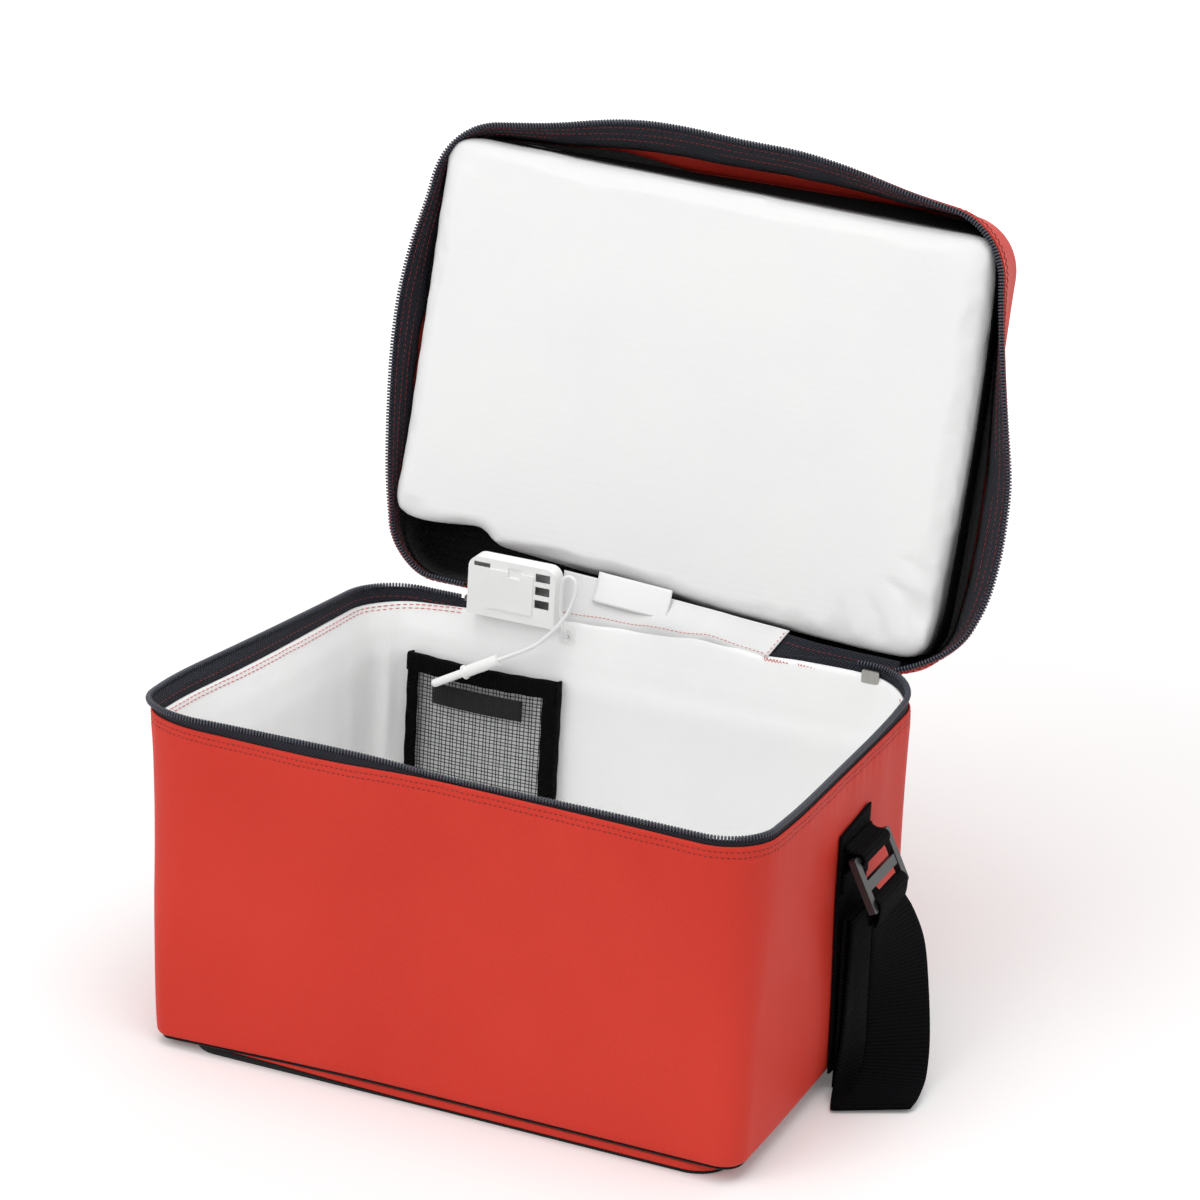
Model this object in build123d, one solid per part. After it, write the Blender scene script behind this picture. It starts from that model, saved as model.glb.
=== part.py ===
from build123d import *
import math
import os

# Soft insulated vaccine carrier, in millimetres. The origin is at the centre of the underside of the base,
# +Z is up, the front is at -Y and the hinge of the lid is along the top of the rear wall, at +Y.
# The lid is drawn closed and then turned open about the hinge line.

# ---------------------------------------------------------------- driving dimensions
width = 300.0
depth = 230.0
zip_height = 166.0            # from the ground to the line where the two rows of teeth meet
lid_height = 45.0
corner_radius = 28.0
open_angle = 105.0            # the lid's lean when it rests fully open

layer_gap = 0.2               # between two layers of one body that lie on each other
running_gap = 0.25            # round a part that turns or slides in another
shell_thickness = 1.2
shell_edge_radius = 5.0
foam_thickness = 9.0
liner_thickness = 0.8

base_sheet_thickness = 2.0
base_panel_thickness = 4.0
base_piping_thickness = 1.5
base_inset_x = 12.0
base_inset_y = 4.0
base_corner_radius = 24.0
piping_inset = 7.0
piping_width = 8.0

red_edge_drop = 6.0           # from the teeth down to the edge of the red fabric
tape_drop = 14.0              # from the teeth down to the lower edge of the zip tape
liner_drop = 11.0             # from the teeth down to the top of the liner
foam_drop = 16.0              # from the teeth down to the top of the foam walls
flare_height = 19.0           # the liner widens to the zip tape over this height
tape_thickness = 1.0
teeth_half_gap = 0.7
teeth_height = 2.6
teeth_width = 3.0
zip_end_left = 24.0           # the teeth stop this far in from the left end of the straight rear wall
zip_end_right = 10.0          # and this far in from its right end
zip_stop_length = 3.0
hinge_web_right_gap = 4.0     # from the hinge fabric to the teeth
flap_left_gap = 14.0          # from the hinge fabric's ends in to the white flap's
flap_right_gap = 28.0

lid_edge_radius = 10.0
lid_band_seam = 12.0          # from the top of the lid down to the seam of its side band
lid_tape_height = 10.7
lining_thickness = 0.8

pad_side_gap = 8.0            # from the outline of the lid in to the pad
pad_hinge_gap = 20.0
pad_notch_gap = 32.0          # the same, where the seal housing stands
pad_notch_right_gap = 17.0    # from the lead to the side of the notch
pad_face_gap = 1.4            # from the teeth up to the face of the pad
pad_corner_radius = 14.0
pad_step_radius = 6.5
pad_notch_radius = 3.0
pad_face_radius = 5.0
pad_back_radius = 5.0
pad_cover_thickness = 0.8
pad_band_thickness = 1.0
pad_band_height = 18.0
pad_band_rise = 9.0
pad_band_end_gap = 20.0       # the band stops this far short of the notch
label_overhang = 7.0          # from the white flap's left end to the label's
label_width = 40.0
label_depth = 14.0
label_thickness = 0.6

slider_length = 9.0
slider_wing = 1.2
slider_channel = 3.8          # clear thickness for the teeth
slider_rise = 3.8
slider_drop = 5.6
slider_post = 0.9
pull_pin_radius = 0.8
pull_length = 24.0
pull_width = 8.0
pull_thickness = 1.5

pocket_width = 84.0
pocket_floor_gap = 9.9
pocket_drop = 34.0            # from the teeth down to the pocket's mouth
pocket_stand_off = 6.6
pocket_border = 8.0
pocket_binding_thickness = 1.2
pocket_mesh_thickness = 0.6
closure_width = 46.0
closure_height = 9.0

housing_zip_gap = 6.0         # from the zip's left end to the seal housing
housing_width = 48.0
housing_height = 31.0
housing_depth = 9.5
housing_wall = 1.6
housing_base_drop = 5.0       # from the teeth down to the floor of the seal housing
housing_rear_gap = 4.2        # from the rear outline of the case to the back of the housing
housing_corner = 6.0
flange_width = 57.0
flange_height = 13.0
flange_thickness = 1.2

lead_diameter = 2.0
grommet_bore = 2.1
grommet_radius = 3.2
grommet_flange = 4.6
probe_radius = 3.0
probe_length = 21.0
probe_lip = 0.7
probe_tip_radius = 2.1
probe_tip_length = 19.0

display_width = 56.0
display_height = 38.0
display_depth = 12.5
display_drop = 28.0           # from the teeth down to the top of the display
display_side_gap = 5.0        # its middle is this far right of the seal housing
display_wall = 1.6
display_corner = 5.0
holder_thickness = 1.4
holder_lip = 3.0
window_width = 34.0
window_height = 17.0
button_radius = 2.6
button_travel = 0.8
button_proud = 1.1
button_spacing = 18.0
cell_radius = 10.0
cell_thickness = 3.2
cover_radius = 12.0
cover_thickness = 1.6

webbing_width = 40.0
webbing_thickness = 1.8
strap_thickness = 2.2
strap_centre = 15.0           # the straps hang a little behind the middle of each side
anchor_bottom = 9.0
anchor_rise = 11.0            # from the buckle's bar up to the webbing's end
bar_radius = 2.0
bar_running_gap = 0.1
loop_wall = 1.8
buckle_stand_off = 10.0       # from the side wall to the buckle's upper bar
buckle_drop = 46.0            # from the teeth down to the buckle's upper bar
buckle_lean = 27.0
buckle_length = 23.0
buckle_rail = 5.0
buckle_thickness = 3.4
cross_bar_width = 5.0
cross_bar_place = 12.7
wrap_tail = 10.0
drop_lean = 5.7
strap_turn_radius = 15.0
strap_ground_gap = 1.4
strap_rear_gap = 9.0
strap_rear_radius = 45.0

# ---------------------------------------------------------------- heights and insets worked out from them
half_width = width / 2
half_depth = depth / 2
corner_x = half_width - corner_radius
base_panel_bottom = base_sheet_thickness
piping_bottom = base_panel_bottom + base_panel_thickness
shell_bottom = piping_bottom + base_piping_thickness
shell_top = zip_height - red_edge_drop
floor_foam_bottom = shell_bottom + shell_thickness + layer_gap
wall_foam_bottom = floor_foam_bottom + foam_thickness
liner_bottom = wall_foam_bottom + layer_gap
liner_top = zip_height - liner_drop
flare_bottom = liner_top - flare_height
foam_top = zip_height - foam_drop
teeth_top = zip_height - teeth_half_gap
tape_top = teeth_top - teeth_height
tape_bottom = zip_height - tape_drop

foam_inset = shell_thickness + layer_gap
foam_inner = foam_inset + foam_thickness
liner_inset = foam_inner + layer_gap
tape_inset = shell_thickness + layer_gap
tape_inner = tape_inset + tape_thickness
rim_inset = tape_inner + layer_gap
teeth_inset = (tape_inset + tape_inner - teeth_width) / 2
lining_inset = tape_inner + layer_gap

hinge_zip_left = -corner_x + zip_end_left
hinge_zip_right = corner_x - zip_end_right
housing_left = hinge_zip_left + housing_zip_gap
housing_right = housing_left + housing_width
display_centre = housing_right + display_side_gap
display_top = zip_height - display_drop
hinge_web_left = display_centre + 3
hinge_web_right = hinge_zip_right - hinge_web_right_gap
flap_left = hinge_web_left + flap_left_gap
flap_right = hinge_web_right - flap_right_gap
pad_notch_right = display_centre + pad_notch_right_gap
pocket_left = -corner_x
pocket_top = zip_height - pocket_drop
pocket_height = pocket_top - liner_bottom - pocket_floor_gap
buckle_bar_height = zip_height - buckle_drop
anchor_top = buckle_bar_height + anchor_rise

hinge_y = half_depth - shell_thickness / 2
lid_top = zip_height + lid_height
lid_seam = lid_top - lid_band_seam
lid_teeth_bottom = zip_height + teeth_half_gap
lid_tape_bottom = lid_teeth_bottom + teeth_height
band_bottom = zip_height + red_edge_drop - 0.5
lining_ceiling = lid_top - shell_thickness - layer_gap
pad_bottom = zip_height + pad_face_gap
pad_top = lining_ceiling - lining_thickness - layer_gap
side_face = half_width + layer_gap


# ---------------------------------------------------------------- shared shapes
def outline(inset, z):
    """The carrier's outline seen from above, pulled in by inset."""
    plan = RectangleRounded(width - 2 * inset, depth - 2 * inset, corner_radius - inset)
    return Pos(0, 0, z) * plan


def block(inset, z_low, z_high):
    return extrude(outline(inset, z_low), z_high - z_low)


def ring(outer_inset, inner_inset, z_low, z_high):
    return block(outer_inset, z_low, z_high) - block(inner_inset, z_low - 1, z_high + 1)


def box_between(low, high):
    """A box given by its lowest and highest corners."""
    size = [b - a for a, b in zip(low, high)]
    middle = [(a + b) / 2 for a, b in zip(low, high)]
    return Pos(*middle) * Box(*size)


def round_bottom(solid, radius):
    return fillet(solid.faces().sort_by(Axis.Z)[0].edges(), radius)


def round_top(solid, radius):
    return fillet(solid.faces().sort_by(Axis.Z)[-1].edges(), radius)


def funnel(growth, z_floor):
    """The cavity's outline: straight walls that widen to the zip tape, all grown outwards by growth."""
    lower = liner_inset - growth
    upper = rim_inset - growth
    well = block(lower, z_floor, flare_bottom)
    mouth = loft([outline(lower, flare_bottom), outline(upper, liner_top)], ruled=True)
    return well + mouth


def flare_inset(z):
    """Inset of the liner's outer face at a height in the flare."""
    return liner_inset + (rim_inset - liner_inset) * (z - flare_bottom) / flare_height


def disc_y(x, y_low, y_high, z, radius):
    """A round bar along Y."""
    middle = (y_low + y_high) / 2
    return Pos(x, middle, z) * Rot(X=90) * Cylinder(radius, y_high - y_low)


def rear_gap_cut(x_low, x_high):
    """Clears the rear stretch of a ring, where the hinge is."""
    return box_between((x_low, half_depth - corner_radius + 8, 0), (x_high, half_depth + 5, lid_top + 5))


def opened(shape):
    """Turns a piece of the closed lid open about the hinge line."""
    return Pos(0, hinge_y, zip_height) * Rot(X=-open_angle) * Pos(0, -hinge_y, -zip_height) * shape


def mirrored(shape):
    return mirror(shape, about=Plane.YZ)


# ---------------------------------------------------------------- base and case
def base_plate(extra_x, extra_y, z_low, thickness):
    plan = RectangleRounded(
        width - 2 * (base_inset_x - extra_x), depth - 2 * (base_inset_y - extra_y), base_corner_radius)
    return extrude(Pos(0, 0, z_low) * plan, thickness)


def make_base():
    sheet = base_plate(0, 0, 0, base_sheet_thickness)
    panel = base_plate(1, 0.5, base_panel_bottom, base_panel_thickness)
    piping = ring(piping_inset, piping_inset + piping_width, piping_bottom, shell_bottom)
    return {"base_sheet": sheet, "base_panel": panel, "base_piping": piping}


def make_shell():
    outer = round_bottom(block(0, shell_bottom, shell_top), shell_edge_radius)
    hollow = round_bottom(
        block(shell_thickness, shell_bottom + shell_thickness, shell_top + 1), shell_edge_radius - shell_thickness)
    return outer - hollow - grommet_hole()


def make_foam():
    floor = round_bottom(block(foam_inset, floor_foam_bottom, wall_foam_bottom),
                         shell_edge_radius - shell_thickness - layer_gap)
    walls = block(foam_inset, wall_foam_bottom, foam_top) - funnel(layer_gap, wall_foam_bottom - 1)
    reach = half_depth + 1
    z_low, z_high = wall_foam_bottom - 1, foam_top + 1
    front = walls & box_between((-corner_x, -reach, z_low), (corner_x, 0, z_high))
    rear = walls & box_between((-corner_x, 0, z_low), (corner_x, reach, z_high))
    right = walls & box_between((corner_x, -reach, z_low), (half_width, reach, z_high))
    left = walls & box_between((-half_width, -reach, z_low), (-corner_x, reach, z_high))
    return {"floor_foam": floor, "front_foam": front, "rear_foam": rear, "left_foam": left, "right_foam": right}


def make_liner():
    outside = funnel(0, liner_bottom)
    inside = funnel(-liner_thickness, liner_bottom + liner_thickness)
    return outside - inside - grommet_hole()


def make_case_zip():
    tape = ring(tape_inset, tape_inner, tape_bottom, tape_top) - grommet_hole()
    teeth = ring(teeth_inset, teeth_inset + teeth_width, tape_top, teeth_top)
    teeth -= rear_gap_cut(hinge_zip_left, hinge_zip_right)
    y_low = half_depth - teeth_inset - teeth_width
    y_high = half_depth - teeth_inset
    left_stop = box_between((hinge_zip_left, y_low, tape_top), (hinge_zip_left + zip_stop_length, y_high, teeth_top))
    right_stop = box_between(
        (hinge_zip_right - zip_stop_length, y_low, tape_top), (hinge_zip_right, y_high, teeth_top))
    return {"case_zip_tape": tape, "case_zip_teeth": teeth, "zip_stops": Part() + [left_stop, right_stop]}


def make_hinge():
    web_top = zip_height - shell_thickness / 2 - 0.3
    web = box_between((hinge_web_left, half_depth - shell_thickness, shell_top),
                      (hinge_web_right, half_depth, web_top))
    flap = box_between((flap_left, half_depth - rim_inset - liner_thickness, liner_top),
                       (flap_right, half_depth - rim_inset, teeth_top - 0.7))
    lid_web = box_between((hinge_web_left, half_depth - shell_thickness, zip_height),
                          (hinge_web_right, half_depth, band_bottom))
    centre_x = (hinge_web_left + hinge_web_right) / 2
    bead = Pos(centre_x, hinge_y, zip_height) * Rot(Y=90) * Cylinder(
        shell_thickness / 2, hinge_web_right - hinge_web_left)
    flap_low = pad_bottom - 0.5
    lid_flap = box_between((flap_left, hinge_y - pad_hinge_gap + 0.4, flap_low),
                           (flap_right, hinge_y - 4, flap_low + liner_thickness))
    return {"hinge_web": web, "hinge_flap": flap, "lid_hinge_web": opened(lid_web + bead),
            "lid_hinge_flap": opened(lid_flap)}


# ---------------------------------------------------------------- seal housing at the end of the zip
def make_housing():
    rear = half_depth - housing_rear_gap
    front = rear - housing_depth
    floor = zip_height - housing_base_drop
    top = floor + housing_height
    right = housing_right
    body = box_between((housing_left, front, floor), (right, rear, top))
    upright = body.edges().filter_by(Axis.Y).group_by(Axis.Z)[-1]
    body = fillet(upright, housing_corner)
    hollow = box_between((housing_left + housing_wall, front + housing_wall, floor + housing_wall),
                         (right - housing_wall, rear + 1, top - housing_wall))
    upright = hollow.edges().filter_by(Axis.Y).group_by(Axis.Z)[-1]
    body -= fillet(upright, housing_corner - housing_wall)
    panel = box_between((housing_left + 11, front - 0.8, floor + 5), (right - 12, front, top - 5))
    body += panel
    for bottom in (9.5, 16.5, 23.5):
        body -= box_between((right - 11, front - 1, floor + bottom), (right - 3, front + 2, floor + bottom + 4.5))
    body -= box_between((housing_left + 3, front - 1, top - 5), (housing_left + 12, front + 2, top - 2.6))
    body -= box_between((right - 26, front - 1, top - 8), (right - 19, front + 0.7, top - 3))
    flange_foot = floor - flange_height
    wall_y = [half_depth - flare_inset(z) - liner_thickness - 0.3 for z in (flange_foot, floor - 3.0)]
    profile = Polyline((wall_y[0], flange_foot), (wall_y[1], floor - 3.0), (rear, floor - 1.4),
                       (rear, floor + 0.6), (wall_y[1] - flange_thickness, floor + 0.6),
                       (wall_y[0] - flange_thickness, flange_foot), close=True)
    strip = extrude(Plane.YZ * make_face(profile), flange_width / 2, both=True)
    flange = Pos(housing_left + housing_width / 2 - 4.5, 0, 0) * strip
    rail_x = right - housing_wall - layer_gap
    latch = box_between((rail_x - 2.5, front + 3, floor + 3), (rail_x, front + 7, top - 5))
    for height in (floor + 13.5, floor + 20.5):
        latch += box_between((rail_x - 14, front + 3, height), (rail_x - 2, front + 5, height + 1.6))
    return {"seal_housing": body + flange, "seal_latch": latch}


# ---------------------------------------------------------------- thermometer
grommet_x = display_centre
grommet_z = liner_top
lead_offsets = [               # from the point of the rear wall above the grommet, level with the teeth
    (0.0, 6.5, -display_drop),
    (0.0, 6.5, -liner_drop),
    (0.0, -10.5, -liner_drop + 0.3),
    (-1.9, -11.9, 3.5),
    (-2.0, -12.3, 13.0),
    (-1.6, -12.7, 20.5),
    (-0.4, -13.0, 23.6),
    (2.6, -13.4, 24.9),
    (5.6, -13.9, 23.6),
    (6.8, -14.5, 20.4),
    (6.2, -15.7, 12.0),
    (2.2, -17.3, 3.0),
    (-4.4, -18.7, -5.7),
    (-11.6, -19.9, -13.4),
    (-21.6, -20.9, -19.0),
    (-30.6, -21.5, -24.0),
]
lead_points = [(grommet_x + x, half_depth + y, zip_height + z) for x, y, z in lead_offsets]


def grommet_hole():
    return disc_y(grommet_x, half_depth - 15, half_depth + 5, grommet_z, grommet_radius + 0.1)


def make_grommet():
    inner_face = half_depth - flare_inset(grommet_z - grommet_flange) - liner_thickness - layer_gap - 0.3
    outer_face = half_depth + layer_gap
    tube = disc_y(grommet_x, inner_face - 1, outer_face + 1, grommet_z, grommet_radius)
    inner_flange = disc_y(grommet_x, inner_face - 1, inner_face, grommet_z, grommet_flange)
    outer_flange = disc_y(grommet_x, outer_face, outer_face + 1, grommet_z, grommet_flange)
    bore = disc_y(grommet_x, inner_face - 2, outer_face + 2, grommet_z, grommet_bore)
    return tube + inner_flange + outer_flange - bore


def make_lead():
    points = [Vector(*p) for p in lead_points]
    radii = []
    for before, here, after in zip(points, points[1:], points[2:]):
        turn = math.radians((here - before).get_angle(after - here))
        radii.append(0.45 * min((here - before).length, (after - here).length) / math.tan(turn / 2))
    print("lead radii", [round(r, 1) for r in radii])
    path = FilletPolyline(*points, radius=radii)
    section = Plane(origin=path @ 0, z_dir=path % 0) * Circle(lead_diameter / 2)
    lead = sweep(section, path=path)
    print("lead length", round(path.length, 1), "volume over section",
          round(lead.volume / (math.pi * lead_diameter ** 2 / 4), 1))
    return lead


def make_probe():
    end = Vector(*lead_points[-1])
    along = (end - Vector(*lead_points[-2])).normalized()
    seat = Plane(origin=end, z_dir=along)
    lip_start = probe_length - 1.6
    body = seat * Pos(0, 0, probe_length / 2) * Cylinder(probe_radius, probe_length)
    body += seat * Pos(0, 0, lip_start + 0.6) * Cylinder(probe_radius + probe_lip, 1.2)
    tip = Cylinder(probe_tip_radius, probe_tip_length)
    tip = fillet(tip.edges().sort_by(Axis.Z)[-1], probe_tip_radius * 0.8)
    tip = seat * Pos(0, 0, probe_length + probe_tip_length / 2) * tip
    return {"probe_body": body, "probe_tip": tip}


def make_display():
    left = display_centre - display_width / 2
    right = display_centre + display_width / 2
    bottom = display_top - display_height
    holder_back = half_depth + layer_gap
    back = holder_back + holder_thickness + layer_gap
    front = back + display_depth
    plate_end = back + cover_thickness
    edge = 4.0
    holder = box_between((left - edge, holder_back, bottom - edge), (right + edge, back - layer_gap, display_top - 3))
    lips = box_between((left - edge, holder_back, bottom - edge), (right + edge, back + holder_lip, display_top - 12))
    lips -= box_between((left - running_gap, back - layer_gap, bottom - running_gap),
                        (right + running_gap, back + holder_lip + 1, display_top))
    holder += lips

    case = box_between((left, plate_end, bottom), (right, front, display_top))
    case = fillet(case.edges().filter_by(Axis.Y), display_corner)
    inside = box_between((left + display_wall, plate_end - 1, bottom + display_wall),
                         (right - display_wall, front - display_wall, display_top - display_wall))
    inside = fillet(inside.edges().filter_by(Axis.Y), display_corner - display_wall)
    window_middle = (bottom + display_top) / 2 + 5
    window_low = (display_centre - window_width / 2, front - display_wall - 1, window_middle - window_height / 2)
    window_high = (display_centre + window_width / 2, front + 1, window_middle + window_height / 2)
    button_z = bottom + 8
    button_places = {"mode_button": display_centre - button_spacing / 2,
                     "reset_button": display_centre + button_spacing / 2}
    case -= inside
    case -= box_between(window_low, window_high)
    for x in button_places.values():
        case -= disc_y(x, front - display_wall - 1, front + 1, button_z, button_radius + running_gap)

    back_plate = box_between((left, back, bottom), (right, plate_end - 0.1, display_top))
    back_plate = fillet(back_plate.edges().filter_by(Axis.Y), display_corner)
    cover_z = (bottom + display_top) / 2
    back_plate -= disc_y(display_centre, back - 1, plate_end + 1, cover_z, cover_radius + running_gap)
    cover = disc_y(display_centre, back, plate_end - 0.1, cover_z, cover_radius)
    slot = box_between((display_centre - 7, back - 1, cover_z - 1), (display_centre + 7, back + 0.7, cover_z + 1))

    cell = disc_y(display_centre, plate_end + layer_gap, plate_end + layer_gap + cell_thickness, cover_z, cell_radius)
    board_y = plate_end + 2 * layer_gap + cell_thickness
    board = box_between((left + 3, board_y, bottom + 3), (right - 3, board_y + 1.2, display_top - 3))
    screen_front = front - display_wall - layer_gap
    screen = box_between((window_low[0] - 2, board_y + 1.2 + layer_gap, window_low[2] - 1.5),
                         (window_high[0] + 2, screen_front, window_high[2] + 1.5))
    glass = box_between((window_low[0] + 0.1, front - display_wall, window_low[2] + 0.1),
                        (window_high[0] - 0.1, front - 0.4, window_high[2] - 0.1))
    parts = {"display_holder": holder, "display_case": case, "display_back": back_plate,
             "battery_cover": cover - slot, "coin_cell": cell, "circuit_board": board, "lcd_panel": screen,
             "lcd_window": glass}
    for name, x in button_places.items():
        button = disc_y(x, board_y + 1.2 + button_travel + 0.2, front + button_proud, button_z, button_radius)
        outer_rim = button.edges().filter_by(GeomType.CIRCLE).sort_by(Axis.Y)[-1]
        parts[name] = fillet(outer_rim, 0.5)
    return parts


# ---------------------------------------------------------------- mesh pocket on the rear wall inside
def make_pocket():
    wall = half_depth - liner_inset - liner_thickness - 0.1
    front = wall - pocket_stand_off
    right = pocket_left + pocket_width
    bottom = pocket_top - pocket_height
    binding = box_between((pocket_left, front, bottom), (right, wall, pocket_top))
    thick = pocket_binding_thickness
    binding -= box_between((pocket_left + thick, front + thick, bottom + thick), (right - thick, wall + 1, pocket_top + 1))
    binding -= box_between((pocket_left + pocket_border, front - 1, bottom + pocket_border),
                           (right - pocket_border, front + thick + 1, pocket_top - pocket_border))
    net_back = front + thick + layer_gap + pocket_mesh_thickness
    net = box_between((pocket_left + 3, front + thick + layer_gap, bottom + 3), (right - 3, net_back, pocket_top - 2))
    closure_z = pocket_top - pocket_border - 3.5
    middle = (pocket_left + right) / 2
    closure = box_between(
        (middle - closure_width / 2, front + 0.4, closure_z - closure_height),
        (middle + closure_width / 2, front + thick, closure_z))
    return {"pocket_binding": binding, "pocket_mesh": net, "pocket_closure": closure}


# ---------------------------------------------------------------- zip slider and pull
slider_x = corner_x
pull_pin_y = half_depth - teeth_inset + 0.4 + slider_wing + 1.8
pull_pin_z = zip_height - slider_drop + 1.1


def make_slider():
    channel_back = half_depth - teeth_inset - teeth_width - 0.4
    channel_front = half_depth - teeth_inset + 0.4
    x_low, x_high = slider_x - slider_length / 2, slider_x + slider_length / 2
    z_low, z_high = zip_height - slider_drop, zip_height + slider_rise
    inner = box_between((x_low, channel_back - slider_wing, tape_top + 0.4), (x_high, channel_back, z_high))
    outer = box_between((x_low, channel_front, z_low), (x_high, channel_front + slider_wing, z_high))
    inner = fillet(inner.edges().filter_by(Axis.Y), 1.0)
    outer = fillet(outer.edges().filter_by(Axis.Y), 1.5)
    post = box_between((x_low + 1, channel_back - 0.2, zip_height - slider_post / 2),
                       (x_low + 4, channel_front + 0.2, zip_height + slider_post / 2))
    slider = inner + outer + post
    for side in (-1, 1):
        x = slider_x + side * (pull_width / 2 - 2.6)
        slider += box_between((x - 0.5, channel_front + slider_wing - 0.2, pull_pin_z - 1.2),
                              (x + 0.5, pull_pin_y + 1.1, pull_pin_z + 1.2))
    pin = Pos(slider_x, pull_pin_y, pull_pin_z) * Rot(Y=90) * Cylinder(pull_pin_radius, pull_width - 4.2)
    return slider + pin


def make_pull():
    eye_radius = pull_pin_radius + 0.05
    tab = Pos(slider_x, pull_pin_y, pull_pin_z - pull_length / 2) * Box(
        pull_width, pull_thickness, pull_length)
    tab = fillet(tab.edges().filter_by(Axis.Y).group_by(Axis.Z)[0], 3.0)
    tab -= Pos(slider_x, pull_pin_y, pull_pin_z) * Box(pull_width + 1, 4, 6)
    tab -= Pos(slider_x, pull_pin_y, pull_pin_z - pull_length + 6) * Rot(X=90) * Cylinder(1.8, 4)
    neck = Pos(slider_x, pull_pin_y, pull_pin_z - 2) * Box(1.4, pull_thickness, 4)
    eye = Pos(slider_x, pull_pin_y, pull_pin_z) * Rot(Y=90) * Cylinder(pull_pin_radius + 0.75, 1.4)
    bore = Pos(slider_x, pull_pin_y, pull_pin_z) * Rot(Y=90) * Cylinder(eye_radius, 4)
    return tab + neck + eye - bore


# ---------------------------------------------------------------- lid
def make_lid():
    band = ring(0, shell_thickness, band_bottom, lid_seam)
    panel = round_top(block(0, lid_seam, lid_top), lid_edge_radius)
    panel -= round_top(block(shell_thickness, lid_seam - 1, lid_top - shell_thickness),
                       lid_edge_radius - shell_thickness)
    teeth = ring(teeth_inset, teeth_inset + teeth_width, lid_teeth_bottom, lid_tape_bottom)
    tape = ring(tape_inset, tape_inner, lid_tape_bottom, lid_tape_bottom + lid_tape_height)
    gap = rear_gap_cut(hinge_zip_left, corner_x + 12)
    lining_bottom = lid_tape_bottom + lid_tape_height + layer_gap
    lining = round_top(block(lining_inset, lining_bottom, lining_ceiling),
                       lid_edge_radius - lining_inset)
    lining_hollow = round_top(
        block(lining_inset + lining_thickness, lining_bottom - 1, lining_ceiling - lining_thickness),
        lid_edge_radius - lining_inset - lining_thickness)
    pieces = {"lid_band": band, "lid_panel": panel, "lid_zip_teeth": teeth - gap, "lid_zip_tape": tape - gap,
              "lid_lining": lining - lining_hollow}
    pieces.update(make_pad())
    label_y = hinge_y - 10
    label_x = flap_left - label_overhang
    pieces["blank_label"] = box_between(
        (label_x, label_y - label_depth, pad_bottom - 0.7 - label_thickness),
        (label_x + label_width, label_y, pad_bottom - 0.7))
    return {name: opened(piece) for name, piece in pieces.items()}


def pad_plan(inset):
    """The pad seen from above, pulled in by inset, with a step cut out where the seal housing stands."""
    front = -half_depth + pad_side_gap + inset
    rear = hinge_y - pad_hinge_gap - inset
    notch = hinge_y - pad_notch_gap - inset
    half = half_width - pad_side_gap - inset
    step = pad_notch_right + inset
    radii = {(-half, front): pad_corner_radius - inset, (half, front): pad_corner_radius - inset,
             (half, rear): pad_corner_radius - inset, (step, rear): pad_step_radius - inset,
             (step, notch): pad_notch_radius + inset, (-half, notch): pad_corner_radius - inset}
    plan = make_face(Polyline(*radii.keys(), close=True))
    for (x, y), radius in radii.items():
        corner = plan.vertices().sort_by_distance((x, y, 0))[0]
        plan = fillet(corner, radius)
    return plan


def pad_block(inset, z_low, z_high, face_radius, back_radius):
    solid = extrude(Pos(0, 0, z_low) * pad_plan(inset), z_high - z_low)
    solid = round_bottom(solid, face_radius)
    return round_top(solid, back_radius)


def make_pad():
    cover = pad_block(0, pad_bottom, pad_top, pad_face_radius, pad_back_radius)
    skin = pad_cover_thickness
    cover -= pad_block(skin, pad_bottom + skin, pad_top - skin, pad_face_radius - skin, pad_back_radius - skin)
    core_inset = skin + layer_gap
    core = pad_block(core_inset, pad_bottom + core_inset, pad_top - core_inset,
                     pad_face_radius - core_inset, pad_back_radius - core_inset)
    front = -half_depth + pad_side_gap
    half = half_width - pad_side_gap
    band_low = pad_bottom + pad_band_rise
    band_end = hinge_y - pad_notch_gap - pad_band_end_gap

    def band_block(growth):
        plan = Pos(0, (front - growth + half_depth) / 2) * RectangleRounded(
            2 * (half + growth), half_depth - front + growth, pad_corner_radius + growth)
        return extrude(Pos(0, 0, band_low) * plan, pad_band_height)

    band = band_block(layer_gap + pad_band_thickness) - band_block(layer_gap)
    band -= box_between((-half_width, band_end, 0), (half_width, depth, lid_top))
    return {"pad_cover": cover, "pad_foam": core, "pad_band": band}


# ---------------------------------------------------------------- straps and buckles, drawn on the right
bar_x = half_width + buckle_stand_off
lower_bar_x = bar_x + buckle_length * math.sin(math.radians(buckle_lean))
lower_bar_z = buckle_bar_height - buckle_length * math.cos(math.radians(buckle_lean))
return_x = half_width + strap_rear_gap


def bar_y(x, z, radius, length):
    return Pos(x, strap_centre, z) * Rot(X=90) * Cylinder(radius, length)


def make_anchor():
    half = webbing_width / 2
    webbing = box_between((side_face, strap_centre - half, anchor_bottom),
                          (side_face + webbing_thickness, strap_centre + half, anchor_top))
    patch_x = side_face + webbing_thickness
    loop_half = half - 2
    loop = box_between((patch_x, strap_centre - loop_half, anchor_top - 31),
                       (patch_x + loop_wall, strap_centre + loop_half, anchor_top - 3))
    loop += box_between((patch_x, strap_centre - loop_half, buckle_bar_height - loop_wall),
                        (bar_x, strap_centre + loop_half, buckle_bar_height + loop_wall))
    bore = bar_radius + bar_running_gap
    loop += bar_y(bar_x, buckle_bar_height, bore + loop_wall, 2 * loop_half)
    loop -= bar_y(bar_x, buckle_bar_height, bore, 2 * loop_half + 2)
    return webbing, loop


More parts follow.
